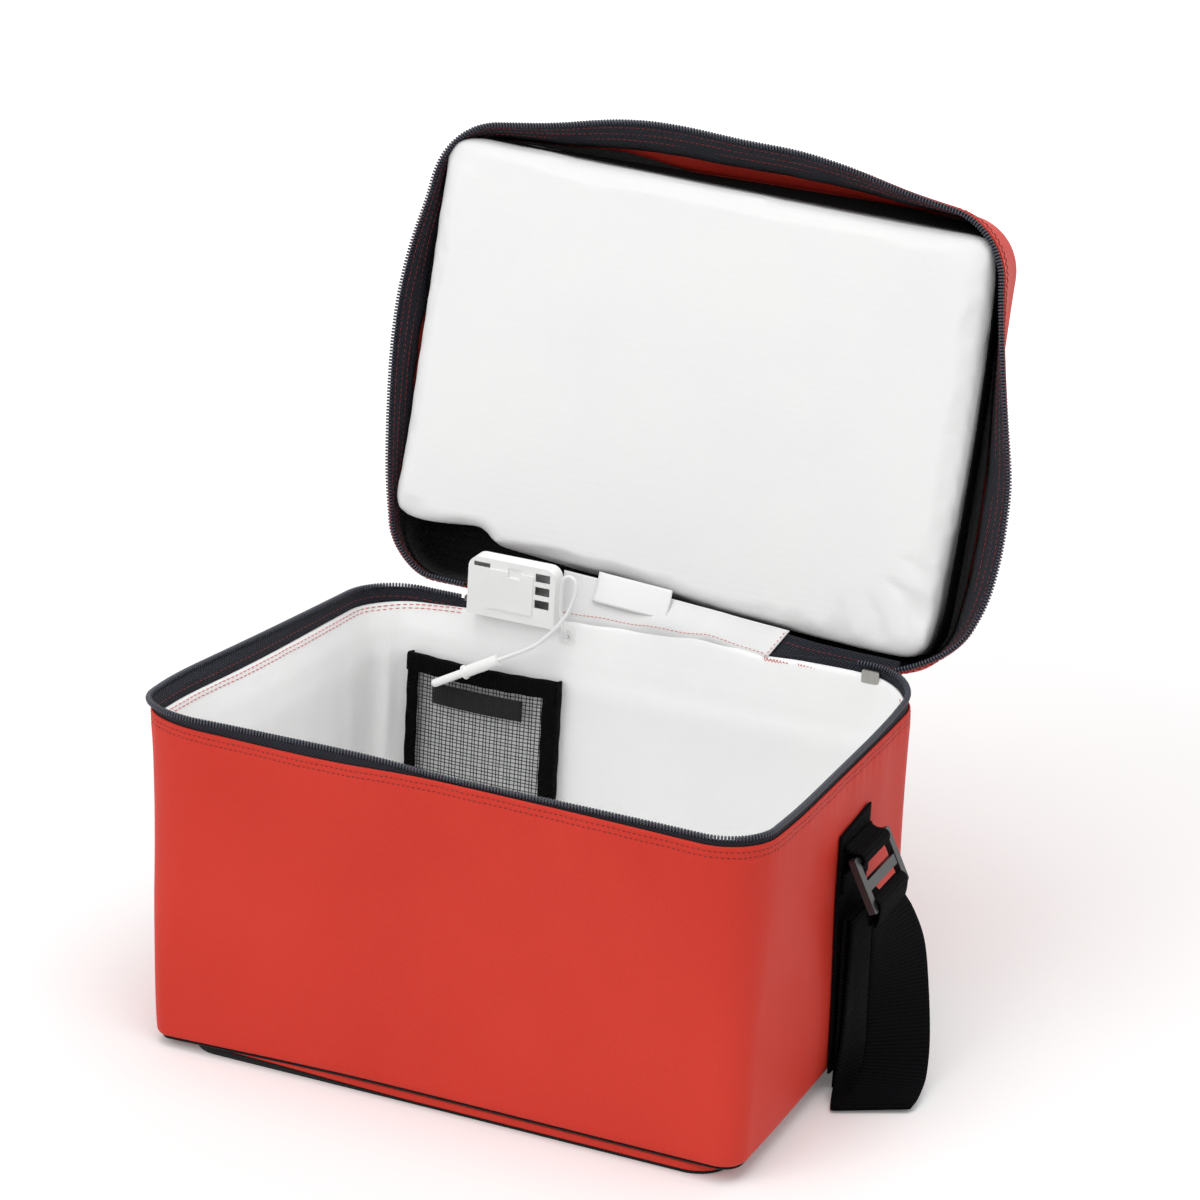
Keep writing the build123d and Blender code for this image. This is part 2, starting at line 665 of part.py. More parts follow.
def make_buckle():
    inner_half = webbing_width / 2
    outer_half = inner_half + buckle_rail - 1
    inner_half -= 1
    plane_turn = Pos(bar_x, strap_centre, buckle_bar_height) * Rot(Y=-buckle_lean)
    frame = Part()
    for side in (-1, 1):
        middle = side * (inner_half + outer_half) / 2
        rail = Pos(0, middle, -buckle_length / 2) * Box(
            buckle_thickness, outer_half - inner_half, buckle_length + 5)
        frame += fillet(rail.edges().filter_by(Axis.X), 1.2)
    for place in (0, buckle_length):
        frame += Pos(0, 0, -place) * Rot(X=90) * Cylinder(bar_radius, 2 * inner_half + 1)
    frame += Pos(0, 0, -cross_bar_place) * Box(buckle_thickness - 0.6, 2 * inner_half + 1, cross_bar_width)
    return plane_turn * frame


def make_strap_wrap():
    bore = bar_radius + bar_running_gap
    length = webbing_width - 4
    wrap = bar_y(lower_bar_x, lower_bar_z, bore + loop_wall, length)
    wrap += box_between((lower_bar_x - loop_wall, strap_centre - length / 2, lower_bar_z - wrap_tail),
                        (lower_bar_x + loop_wall, strap_centre + length / 2, lower_bar_z))
    return wrap - bar_y(lower_bar_x, lower_bar_z, bore, length + 2)


def make_strap_drop():
    top_z = lower_bar_z - wrap_tail - 0.6
    turn_z = strap_turn_radius + strap_thickness / 2 + strap_ground_gap
    outer_x = return_x + 2 * strap_turn_radius
    line = Line((lower_bar_x, top_z), (outer_x, turn_z))
    turn = ThreePointArc((outer_x, turn_z), (outer_x - strap_turn_radius, turn_z - strap_turn_radius),
                         (return_x, turn_z))
    back = Line((return_x, turn_z), (return_x, webbing_width + 1))
    profile = Plane.XZ * trace(line + turn + back, line_width=strap_thickness)
    strip = extrude(profile, webbing_width / 2, both=True)
    return Pos(0, strap_centre, 0) * strip


def make_strap_run():
    """The strap behind the bag, on its edge, from one side's strap to the other's."""
    rear = half_depth + strap_rear_gap
    front = -half_depth
    start = strap_centre + webbing_width / 2 + 0.3

    def plan(growth):
        shape = RectangleRounded(2 * (return_x + growth), rear - front + 2 * growth, strap_rear_radius + growth)
        return Pos(0, (rear + front) / 2, strap_ground_gap) * shape

    half = strap_thickness / 2
    run = extrude(plan(half) - plan(-half), webbing_width)
    return run - box_between((-2 * width, -2 * depth, -1), (2 * width, start, webbing_width + 5))


def make_straps():
    webbing, loop = make_anchor()
    pieces = {"side_webbing": webbing, "buckle_loop": loop, "buckle": make_buckle(),
              "strap_wrap": make_strap_wrap(), "strap_drop": make_strap_drop()}
    parts = {}
    for name, piece in pieces.items():
        parts[name + "_right"] = piece
        parts[name + "_left"] = mirrored(piece)
    parts["strap_run"] = make_strap_run()
    return parts


# ---------------------------------------------------------------- all pieces
def make_all():
    parts = {}
    parts.update(make_base())
    parts["outer_shell"] = make_shell()
    parts.update(make_foam())
    parts["liner"] = make_liner()
    parts.update(make_case_zip())
    parts.update(make_hinge())
    parts.update(make_housing())
    parts["lead_grommet"] = make_grommet()
    parts["probe_lead"] = make_lead()
    parts.update(make_probe())
    parts.update(make_display())
    parts.update(make_pocket())
    parts["zip_slider"] = make_slider()
    parts["zip_pull"] = make_pull()
    parts.update(make_lid())
    parts.update(make_straps())
    return parts


os.makedirs("parts", exist_ok=True)
for node, shape in make_all().items():
    export_step(shape, f"parts/{node}.step")
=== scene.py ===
import math

import bmesh
import bpy
import numpy as np
from mathutils import Matrix, Vector, noise


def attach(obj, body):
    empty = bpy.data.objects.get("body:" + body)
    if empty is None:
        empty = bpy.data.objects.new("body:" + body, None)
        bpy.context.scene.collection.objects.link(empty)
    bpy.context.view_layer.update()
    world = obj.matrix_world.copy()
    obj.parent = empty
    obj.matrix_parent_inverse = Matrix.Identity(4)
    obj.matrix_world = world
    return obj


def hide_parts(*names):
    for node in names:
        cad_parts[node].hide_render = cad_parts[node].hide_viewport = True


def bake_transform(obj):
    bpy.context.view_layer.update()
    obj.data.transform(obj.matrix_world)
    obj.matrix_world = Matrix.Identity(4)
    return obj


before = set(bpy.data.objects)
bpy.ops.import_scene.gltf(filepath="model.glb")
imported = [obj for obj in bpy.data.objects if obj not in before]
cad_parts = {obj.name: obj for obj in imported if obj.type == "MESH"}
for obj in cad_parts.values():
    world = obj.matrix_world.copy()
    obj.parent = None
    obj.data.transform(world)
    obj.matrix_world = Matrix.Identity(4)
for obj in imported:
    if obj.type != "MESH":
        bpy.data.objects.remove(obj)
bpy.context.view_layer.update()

# Lengths are in millimetres in the row frame, and become metres when a mesh is made.
MM = 0.001
HALF_X, HALF_Y = 150.0, 115.0     # half the box's width and depth
ZIP = 166.0                       # height of the zip's plane
RADIUS = 28.0                     # of the box's corners, seen from above
HINGE_Y = HALF_Y - 0.6
OPEN = math.radians(105)          # how far the lid stands open at rest
LID_V = np.array([0.0, -math.cos(-OPEN), -math.sin(-OPEN)])   # along the open lid, away from the hinge
LID_H = np.array([0.0, -math.sin(-OPEN), math.cos(-OPEN)])    # out through the open lid, away from the pad's face


# ------------------------------------------------------------------ camera and lead
CAMERA_PLACE = (0.705, -1.699, 0.897)
CAMERA_TURN = (21.92, 20.23, 3.48)                  # azimuth, elevation and roll, in degrees
FRAME_PX, FOCAL_PX, SENSOR_WIDTH = 1200, 4143, 36   # the frame's side, the focal length on it, and Blender's sensor


def make_camera():
    """The camera that sees the carrier as it stands in the reference view."""
    azimuth, elevation, roll = (math.radians(a) for a in CAMERA_TURN)
    forward = Vector((-math.sin(azimuth) * math.cos(elevation), math.cos(azimuth) * math.cos(elevation),
                      -math.sin(elevation)))
    right = Vector((math.cos(azimuth), math.sin(azimuth), 0))
    up = right.cross(forward)
    right, up = right * math.cos(roll) + up * math.sin(roll), up * math.cos(roll) - right * math.sin(roll)
    data = bpy.data.cameras.new("camera")
    data.sensor_width = SENSOR_WIDTH
    data.lens = FOCAL_PX / FRAME_PX * SENSOR_WIDTH
    data.clip_start, data.clip_end = 0.05, 20
    camera = bpy.data.objects.new("camera", data)
    bpy.context.scene.collection.objects.link(camera)
    axes = Matrix((right, up, -forward)).transposed()
    camera.matrix_world = Matrix.Translation(Vector(CAMERA_PLACE)) @ axes.to_4x4()
    bpy.context.scene.camera = camera


# The lead's curve, from the display's cap up, through the wall and over the zip's fitting to the probe.
LEAD_START = np.array([-39.0, HALF_Y, ZIP])
LEAD_OFFSETS = [
    (0.0, 6.5, -28.0), (0.0, 6.5, -11.0), (0.0, -10.5, -10.7), (-1.9, -11.9, 3.5), (-2.0, -12.3, 13.0),
    (-1.6, -12.7, 20.5), (-0.4, -13.0, 23.6), (2.6, -13.4, 24.9), (5.6, -13.9, 23.6), (6.8, -14.5, 20.4),
    (6.2, -15.7, 12.0), (2.2, -17.3, 3.0), (-4.4, -18.7, -5.7), (-11.6, -19.9, -13.4), (-21.6, -20.9, -19.0),
    (-30.6, -21.5, -24.0)]


def make_lead():
    """The probe's white lead: a round cable along its curve, with the probe on its end."""
    points = [tuple(float(c) * MM for c in LEAD_START + offset) for offset in LEAD_OFFSETS]
    data = bpy.data.curves.new("probe_lead_soft", "CURVE")
    data.dimensions = "3D"
    spline = data.splines.new("NURBS")
    spline.points.add(len(points) - 1)
    for point, place in zip(spline.points, points):
        point.co = (*place, 1)
    spline.order_u = 3
    spline.use_endpoint_u = True
    spline.resolution_u = 10
    data.bevel_depth = 0.001    # the lead is 2 mm thick
    data.bevel_resolution = 5
    data.use_fill_caps = True
    lead = bpy.data.objects.new("probe_lead_soft", data)
    bpy.context.scene.collection.objects.link(lead)
    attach(lead, "case")
    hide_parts("probe_lead")
    return lead


make_camera()
lead = make_lead()


# ------------------------------------------------------------------ mesh tools
def link(name, mesh, material):
    """A smooth piece in the scene, from a mesh and its material."""
    made = bpy.data.objects.new(name, mesh)
    bpy.context.scene.collection.objects.link(made)
    mesh.materials.append(material)
    for polygon in mesh.polygons:
        polygon.use_smooth = True
    return made


def from_arrays(name, verts, faces, material, flat=None):
    """A mesh from points in millimetres; flat holds, for each face corner, its place on the flat cloth."""
    mesh = bpy.data.meshes.new(name)
    mesh.from_pydata((np.asarray(verts) * MM).tolist(), [], [list(map(int, f)) for f in faces])
    if flat is not None:
        layer = mesh.attributes.new("flat", "FLOAT_VECTOR", "CORNER")
        layer.data.foreach_set("vector", (np.asarray(flat) * MM).astype(np.float32).ravel())
    mesh.update()
    made = link(name, mesh, material)
    outwards(made)
    return made


def skin(name, rows, material, round_m=False):
    """Quads over rings of points, rows[m][n], closed at both ends; round_m joins the last ring to the first instead."""
    rows = np.asarray(rows, float)
    m_count, n_count = rows.shape[:2]
    along = np.concatenate([[0], np.cumsum(np.linalg.norm(
        np.diff(np.concatenate([rows, rows[:, :1]], 1), axis=1), axis=2).mean(0))])
    across = np.concatenate([[0], np.cumsum(np.linalg.norm(
        np.diff(np.concatenate([rows, rows[:1]], 0), axis=0), axis=2).mean(1))])
    faces, flat = [], []
    for m in range(m_count if round_m else m_count - 1):
        m2 = (m + 1) % m_count
        for n in range(n_count):
            n2 = (n + 1) % n_count
            faces.append((m * n_count + n, m * n_count + n2, m2 * n_count + n2, m2 * n_count + n))
            flat += [(along[n], across[m], 0), (along[n + 1], across[m], 0),
                     (along[n + 1], across[m + 1], 0), (along[n], across[m + 1], 0)]
    if not round_m:
        for m, order in ((0, range(n_count - 1, -1, -1)), (m_count - 1, range(n_count))):
            faces.append([m * n_count + n for n in order])
            flat += [(along[n], across[m], 0) for n in order]
    return from_arrays(name, rows.reshape(-1, 3), faces, material, flat)


def outwards(piece):
    """Turns a closed mesh's faces outwards."""
    work = bmesh.new()
    work.from_mesh(piece.data)
    bmesh.ops.recalc_face_normals(work, faces=work.faces)
    work.to_mesh(piece.data)
    work.free()


def unit(vectors):
    """Each vector made one long."""
    return vectors / np.linalg.norm(vectors, axis=-1, keepdims=True)


def run_along(path):
    """The distance along a line of points, at each point."""
    return np.concatenate([[0], np.cumsum(np.linalg.norm(np.diff(path, axis=0), axis=1))])


def pick(marks, run, path):
    """The places on a line of points at the given distances along it."""
    return np.stack([np.interp(marks, run, column) for column in path.T], 1)


def sideways(line):
    """Unit directions square to a flat line, to its left."""
    ahead = unit(np.gradient(line, axis=0))
    return np.stack([-ahead[:, 1], ahead[:, 0]], 1)


def fan(centre, ring, shares):
    """Rings between a centre and a ring, at the given shares of the way out."""
    return [centre + (ring - centre) * share for share in shares]


def fit(piece, body, slot, *nodes):
    """The piece moves with a body and stands for CAD nodes, which it hides; slot is not used."""
    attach(piece, body)
    if nodes:
        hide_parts(*nodes)


def smooth_noise(points, scale, seed=0.0):
    """Soft noise from -1 to 1 at points in millimetres, with features of about scale."""
    return np.array([noise.noise(Vector((p[0] / scale + seed, p[1] / scale - seed, p[2] / scale + 2 * seed)))
                     for p in np.asarray(points, float).reshape(-1, 3)])


def spline(points, count):
    """Points at even steps along a smooth open curve through the given ones."""
    p = np.array(points, float)
    p = np.vstack([2 * p[0] - p[1], p, 2 * p[-1] - p[-2]])
    result = []
    for i in range(1, len(p) - 2):
        for t in np.linspace(0, 1, 16, endpoint=False):
            result.append(0.5 * (2 * p[i] + (p[i + 1] - p[i - 1]) * t
                                 + (2 * p[i - 1] - 5 * p[i] + 4 * p[i + 1] - p[i + 2]) * t * t
                                 + (3 * p[i] - p[i - 1] - 3 * p[i + 1] + p[i + 2]) * t ** 3))
    result = np.array(result + [p[-2]])
    run = run_along(result)
    return pick(np.linspace(0, run[-1], count), run, result)


def ribbon(name, left, right, thickness, look, columns=12, count=None):
    """A flat strip between two edge lines, with rounded selvedges; count makes smooth curves of the lines first."""
    if count:
        both = spline(np.hstack([left, right]), count)
        left, right = both[:, :3], both[:, 3:]
    left, right = np.asarray(left, float), np.asarray(right, float)
    normal = unit(np.cross(np.gradient((left + right) / 2, axis=0), right - left))
    shares = np.concatenate([[0, 0.02], np.linspace(0.08, 0.92, columns), [0.98, 1.0]])
    thin = np.concatenate([[0.35, 0.8], np.ones(columns), [0.8, 0.35]]) * thickness / 2
    rows = []
    for a, b, n in zip(left, right, normal):
        line = a + (b - a) * shares[:, None]
        rows.append(np.vstack([line + n * thin[:, None], (line - n * thin[:, None])[::-1]]))
    return skin(name, rows, LOOKS[look])


def step(value, low, high):
    """0 below low, 1 above high and smooth between them."""
    t = np.clip((np.asarray(value, float) - low) / (high - low), 0, 1)
    return t * t * (3 - 2 * t)


# ------------------------------------------------------------------ the carrier's outline
CORNER_N, SIDE_X_N, SIDE_Y_N = 18, 90, 66
SEGMENTS = [("rear", SIDE_X_N), ("rear_right", CORNER_N), ("right", SIDE_Y_N), ("front_right", CORNER_N),
            ("front", SIDE_X_N), ("front_left", CORNER_N), ("left", SIDE_Y_N), ("rear_left", CORNER_N)]
COUNT = sum(n for _, n in SEGMENTS)


def rounded(half_x, half_y, radius):
    """The outline clockwise from the rear left, always with the same number of points on each side and corner."""
    a, b = half_x - radius, half_y - radius
    sides = {"rear": ((-a, half_y), (a, half_y)), "right": ((half_x, b), (half_x, -b)),
             "front": ((a, -half_y), (-a, -half_y)), "left": ((-half_x, -b), (-half_x, b))}
    corners = {"rear_right": (a, b, 90), "front_right": (a, -b, 0), "front_left": (-a, -b, -90),
               "rear_left": (-a, b, 180)}
    points = []
    for name, count in SEGMENTS:
        for i in range(count):
            t = i / count
            if name in sides:
                (x0, y0), (x1, y1) = sides[name]
                points.append((x0 + (x1 - x0) * t, y0 + (y1 - y0) * t))
            else:
                x, y, start = corners[name]
                angle = math.radians(start - 90 * t)
                points.append((x + radius * math.cos(angle), y + radius * math.sin(angle)))
    return np.array(points)


NOMINAL = rounded(HALF_X, HALF_Y, RADIUS)
NOMINAL_STEPS = np.linalg.norm(np.roll(NOMINAL, -1, 0) - NOMINAL, axis=1)
NOMINAL_S = np.concatenate([[0], np.cumsum(NOMINAL_STEPS)[:-1]])
PERIMETER = NOMINAL_STEPS.sum()
TANGENT = unit(np.roll(NOMINAL, -1, 0) - np.roll(NOMINAL, 1, 0))
NORMAL = np.stack([-TANGENT[:, 1], TANGENT[:, 0]], 1)
OUTWARD = np.column_stack([NORMAL, np.zeros(COUNT)])


def level(z):
    """The plain outline's points at a height."""
    return np.column_stack([NOMINAL, np.full(COUNT, z)])


def in_order(keep):
    """The kept points' numbers, round the outline from the start of their run."""
    first = np.argmax(keep & ~np.roll(keep, 1))
    return [(first + k) % COUNT for k in range(int(keep.sum()))]


def around(table, spread=14.0):
    """Values round the outline from a table of (x, y, values...) given at some of its points, smoothed."""
    table = np.array(table, float)
    places = [NOMINAL_S[np.argmin(((NOMINAL - row[:2]) ** 2).sum(1))] for row in table]
    order = np.argsort(places)
    places = np.array(places)[order]
    values = table[order, 2:]
    fine = np.arange(0, PERIMETER, 1.0)
    result = []
    for column in values.T:
        curve = np.interp(fine, places, column, period=PERIMETER)
        window = np.exp(-0.5 * (np.minimum(fine, PERIMETER - fine) / spread) ** 2)
        soft = np.real(np.fft.ifft(np.fft.fft(curve) * np.fft.fft(window / window.sum())))
        result.append(np.interp(NOMINAL_S, fine, soft, period=PERIMETER))
    return np.stack(result, 1)


# How far the soft case stands off its plain outline at the rim and at the foot: (x, y, dx, dy).
RIM_BOW = around([
    (-110, 115, 0, 0), (0, 115, 0, 0), (110, 115, 0, 0), (142, 107, 0, 0), (150, 60, 0, 0), (150, 0, 0, 0),
    (150, -60, 0, 0), (142, -107, -3, 5), (90, -115, 0, 6), (30, -115, 0, 6), (-30, -115, 0, 7),
    (-80, -115, -2, 9), (-122, -115, -9, 11), (-142, -107, -21, 8), (-150, -60, -21, 0), (-150, 0, -14, 0),
    (-150, 60, -7, 0), (-142, 107, -1, 1)])
FOOT_BOW = around([
    (-110, 115, 0, 2), (110, 115, 0, 2), (142, 107, 2, 1), (150, 60, 3.5, 0), (150, -60, 4, 0), (142, -107, 3, -4),
    (110, -115, 0, -4), (0, -115, 0, -4), (-110, -115, 0, -5), (-142, -107, 1, -5), (-150, -60, 1, 0),
    (-150, 60, -1, 0)])
# The left wall behind its middle stays straight up to the buckle and only leans out near the rim.
SHARPNESS = around([(-110, 115, 1), (110, 115, 1), (150, 0, 1), (110, -115, 1), (-110, -115, 1), (-150, -60, 1.2),
                    (-150, -25, 3.2), (-150, 20, 4.5), (-150, 50, 4.0), (-142, 107, 1)])[:, 0]
# How far the soft tape stands off the case's rim, and how high the tape and the red cloth reach: (x, y, out, up).
TAPE_OUT = around([(-142, -107, 2.2), (-150, -60, 3.2), (-150, 0, 1.6), (-150, 60, 0.4), (-110, 115, 0),
                   (110, 115, 0), (150, 60, 0), (150, -60, 0), (100, -115, 0), (-40, -115, 0), (-100, -115, 0.8)])[:, 0]
TAPE_UP = around([(-142, -107, 0), (-100, -115, 0.2), (-60, -115, 1.2), (-38, -115, 1.2), (-5, -115, -0.4),
                  (60, -115, 0), (150, -60, 0), (150, 40, 0), (150, 70, 1), (149, 92, 3.5), (142, 107, 6.5),
                  (128, 115, 8), (100, 115, 8), (60, 115, 3), (0, 115, 0), (-150, 0, 0)], 7.0)[:, 0]
SHELL_TOP = around([(-142, -107, -0.6), (-105, -115, -1.8), (-60, -115, -1.2), (-25, -115, 1.8), (40, -115, 1.6),
                    (110, -115, 0.4), (150, -60, 0), (150, 70, 0), (142, 107, 1.5), (100, 115, 0), (-150, 60, 0),
                    (-150, -60, -0.4)])[:, 0]
# How far the cloth's foot sags on the left: (x, y, up).
FOOT_DROP = around([(-142, -107, -4.8), (-110, -115, -3.4), (-75, -115, -1.6), (-40, -115, 0), (110, -115, 0),
                    (150, -60, 0), (150, 60, 0), (100, 115, 0), (-100, 115, 0), (-142, 107, -0.5), (-150, 40, -2),
                    (-150, -40, -4.5)])[:, 0]


def case_ring(inset, z, radius=None, slack=0.0, cloth=0.0):
    """The case's outline at a height, pulled in by inset; slack adds soft dents of that depth, and cloth is the share
    of the red cloth's own sag at its top and foot. Without a radius the front corners sharpen towards the foot."""
    corner = 11 + (RADIUS - 11) * float(step(z, 20, 150))
    if radius is None:
        front = rounded(HALF_X - inset, HALF_Y - inset, max(corner - inset, 1.5))
        rear = rounded(HALF_X - inset, HALF_Y - inset, RADIUS - inset)
        behind = step(NOMINAL[:, 1], -30, 50)[:, None]
        plan = front * (1 - behind) + rear * behind
    else:
        plan = rounded(HALF_X - inset, HALF_Y - inset, radius)
    high = float(np.clip((z - 4) / 162, 0, 1)) ** SHARPNESS
    low = 1 - float(step(z, 5, 110))
    belly = math.sin(math.pi * min(max((z - 8) / 150, 0), 1))
    moved = plan + RIM_BOW * high[:, None] + FOOT_BOW * low + NORMAL * belly * 0.8
    sag = FOOT_DROP * (1 - float(step(z, 12, 45))) * cloth
    ring = np.column_stack([moved, z + SHELL_TOP * float(step(z, 138, 158)) * cloth + sag])
    if slack:
        dents, fine = smooth_noise(level(z), 46, 3.1), smooth_noise(level(z * 0.6), 17, 8.7)
        ring[:, :2] += NORMAL * (slack * (0.75 * dents + 0.25 * fine))[:, None]
    return ring


# The lid's rim flares out when nothing holds it: (x, y closed, dx, dv) at the teeth.
LID_BOW = around([
    (-142, 107, 6, 4), (-110, 115, 0, 3), (0, 115, 0, 0), (110, 115, 0, 0), (136, 113, 3, 3), (146, 103, 13, 5),
    (150, 88, 19, 4), (150, 70, 25, 0), (150, 45, 28, 0), (150, 10, 27, 0), (150, -15, 20, 0), (150, -40, 14, 0),
    (150, -65, 8, 0), (146, -100, 2, 0), (125, -115, 0, 3), (97, -115, 0, 8), (70, -115, 0, 15), (42, -115, 0, 20),
    (10, -115, 0, 20.5), (-22, -115, 0, 23), (-44, -115, 0, 23), (-65, -115, 0, 20), (-90, -115, 0, 14),
    (-118, -115, 0, 10), (-142, -107, -3, 6), (-150, -84, -4, 2), (-150, -58, -11, 0), (-150, -30, -14, 0),
    (-150, 0, -13, 0), (-150, 35, -9, 0), (-150, 65, -4, 0), (-150, 88, 2, 0)], 9.0)


HINGE = np.array([0.0, HINGE_Y, ZIP])


def lid_place(x, v, h):
    """A point of the open lid from its own sides: x across, v from the hinge, h back from the zip's plane."""
    x, v, h = (np.asarray(a, float) for a in (x, v, h))
    return HINGE + x[..., None] * np.array([1.0, 0, 0]) + v[..., None] * LID_V + h[..., None] * LID_H


def flare(h):
    """The share of the rim's bow that the lid's side has at a depth."""
    return float(np.interp(h, [0, 3.3, 10, 18, 30, 45], [1.0, 0.94, 0.68, 0.36, 0.08, 0.0]))


def lid_ring(inset, h, slack=0.0):
    """The open lid's outline at a depth h behind the zip's plane, pulled in by inset."""
    plan = rounded(HALF_X - inset, HALF_Y - inset, max(RADIUS - inset, 1.5))
    x = plan[:, 0] + LID_BOW[:, 0] * flare(h)
    v = HINGE_Y - plan[:, 1] + LID_BOW[:, 1] * flare(h)
    if slack:
        dents = smooth_noise(level(h * 1.5), 38, 5.3)
        x, v = x + NORMAL[:, 0] * dents * slack, v - NORMAL[:, 1] * dents * slack
    return lid_place(x, v, np.full(COUNT, h))


# ------------------------------------------------------------------ materials
def feed(socket, value):
    """Links another node's output to a socket, or sets the socket's own number or colour."""
    if isinstance(value, bpy.types.NodeSocket):
        socket.id_data.links.new(value, socket)
    else:
        socket.default_value = value


def add_node(tree, kind, inputs=None, **settings):
    """A new node in a tree, with its settings and what its inputs are fed."""
    made = tree.nodes.new(kind)
    for key, value in settings.items():
        setattr(made, key, value)
    for key, value in (inputs or {}).items():
        feed(made.inputs[key], value)
    return made


class Look:
    """Builds one procedural material, with short names for the nodes it uses."""

    def __init__(self, name, roughness, metallic=0.0, specular=0.5, sheen=0.0, alpha=1.0):
        self.material = bpy.data.materials.new(name)
        self.material.use_nodes = True
        self.tree = self.material.node_tree
        self.shader = self.tree.nodes["Principled BSDF"]
        for socket, value in (("Roughness", roughness), ("Metallic", metallic), ("Specular IOR Level", specular),
                              ("Sheen Weight", sheen), ("Alpha", alpha), ("IOR", 1.5)):
            self.shader.inputs[socket].default_value = value
        self.height = None

    def node(self, kind, inputs=None, **settings):
        return add_node(self.tree, kind, inputs, **settings)

    def math(self, operation, first, second=0.0):
        return self.node("ShaderNodeMath", {0: first, 1: second}, operation=operation).outputs[0]

    def place(self):
        return self.node("ShaderNodeTexCoord").outputs["Object"]

    def cloth_place(self):
        return self.node("ShaderNodeAttribute", attribute_name="flat").outputs["Vector"]

    def noise(self, scale, detail):
        inputs = {"Vector": self.place(), "Scale": scale, "Detail": detail}
        return self.node("ShaderNodeTexNoise", inputs).outputs["Fac"]

    def waves(self, per_metre, axes="XYZ", place=None):
        """The sum of sine waves along the axes, each with that many crests to the metre."""
        split = self.node("ShaderNodeSeparateXYZ", {0: place or self.place()})
        total = None
        for axis in axes:
            wave = self.math("SINE", self.math("MULTIPLY", split.outputs[axis], per_metre * 2 * math.pi))
            total = wave if total is None else self.math("ADD", total, wave)
        return total

    def blend(self, amount, first, second):
        mix = self.node("ShaderNodeMix", {0: amount}, data_type="RGBA")
        for number, colour in ((6, first), (7, second)):
            feed(mix.inputs[number], (*colour, 1) if isinstance(colour, tuple) else colour)
        return mix.outputs[2]

    def ramp(self, value, low, high):
        return self.node("ShaderNodeMapRange", {0: value, 1: low, 2: high}, clamp=True).outputs[0]

    def colour(self, value):
        feed(self.shader.inputs["Base Color"], value)
        return self

    def rough(self, value, low, high):
        spread = self.node("ShaderNodeMapRange", {0: value, 1: 0.0, 2: 1.0, 3: low, 4: high})
        feed(self.shader.inputs["Roughness"], spread.outputs[0])
        return self

    def bump(self, value, depth, strength=1.0):
        inputs = {"Height": value, "Distance": depth, "Strength": strength}
        if self.height is not None:
            inputs["Normal"] = self.height
        self.height = self.node("ShaderNodeBump", inputs).outputs[0]
        feed(self.shader.inputs["Normal"], self.height)
        return self


def red_look(name):
    look = Look(name, 0.55, specular=0.16)
    weave = look.waves(900)
    cloud = look.noise(9, 3)
    base = look.blend(look.ramp(cloud, 0.35, 0.65), (0.60, 0.038, 0.023), (0.64, 0.045, 0.028))
    look.colour(base).rough(look.noise(30, 4), 0.48, 0.62)
    look.bump(weave, 0.00003, 0.5).bump(look.noise(160, 3), 0.00012, 0.35).bump(look.noise(28, 3), 0.0006, 0.25)
    return look.material


def white_look(name, value=0.86, wrinkle=0.0009, roughness=(0.40, 0.55)):
    look = Look(name, 0.5, specular=0.35)
    cloud = look.noise(14, 3)
    base = look.blend(look.ramp(cloud, 0.35, 0.7), (value, value, value * 0.995),
                      (value * 0.975, value * 0.977, value * 0.978))
    look.colour(base).rough(look.noise(40, 3), *roughness)
    look.bump(look.waves(1100), 0.00002, 0.4).bump(look.noise(55, 4), wrinkle * 0.4, 0.30)
    look.bump(look.noise(17, 3), wrinkle, 0.35)
    return look.material


def tape_look(name):
    look = Look(name, 0.8, specular=0.12, sheen=0.05)
    place = look.cloth_place()
    twill = look.waves(520, "X", place)
    rows = look.waves(620, "Y", place)
    mixed = look.math("MULTIPLY", twill, rows)
    fleck = look.ramp(mixed, -0.6, 0.9)
    look.colour(look.blend(fleck, (0.009, 0.010, 0.014), (0.040, 0.042, 0.055)))
    look.bump(mixed, 0.00035, 0.8).bump(look.noise(300, 3), 0.0003, 0.4)
    return look.material


def webbing_look(name, dark=(0.0012, 0.0012, 0.0016), light=(0.0065, 0.0065, 0.0078), per_metre=520):
    """Ribs across the strap, with the fine diagonal of the yarns on each rib."""
    look = Look(name, 0.85, specular=0.05)
    place = look.cloth_place()
    ribs = look.waves(per_metre, "Y", place)
    yarn = look.waves(per_metre * 1.5, "X", place)
    mixed = look.math("MULTIPLY", look.ramp(ribs, -1, 1), look.ramp(yarn, -1.2, 0.6))
    look.colour(look.blend(mixed, dark, light))
    look.bump(mixed, 0.0005, 0.9).bump(look.noise(400, 2), 0.0002, 0.4)
    return look.material


def plain_cloth_look(name, dark, light, per_metre=900, roughness=0.8):
    look = Look(name, roughness, specular=0.25, sheen=0.1)
    weave = look.waves(per_metre)
    look.colour(look.blend(look.ramp(weave, -2, 2), dark, light))
    look.bump(weave, 0.0002, 0.6).bump(look.noise(60, 3), 0.0008, 0.3)
    return look.material


def plastic_look(name, colour, roughness=0.35, grain=0.00005):
    look = Look(name, roughness)
    look.colour(look.blend(look.noise(25, 3), colour, tuple(c * 0.94 for c in colour)))
    look.rough(look.noise(60, 3), roughness * 0.85, roughness * 1.2)
    look.bump(look.noise(900, 2), grain, 0.5)
    return look.material


def thread_look(name, colour):
    look = Look(name, 0.6, specular=0.3, sheen=0.2)
    twist = look.waves(1500)
    look.colour(look.blend(look.ramp(twist, -2, 2), tuple(c * 0.7 for c in colour), colour))
    look.bump(twist, 0.0001, 0.6)
    return look.material


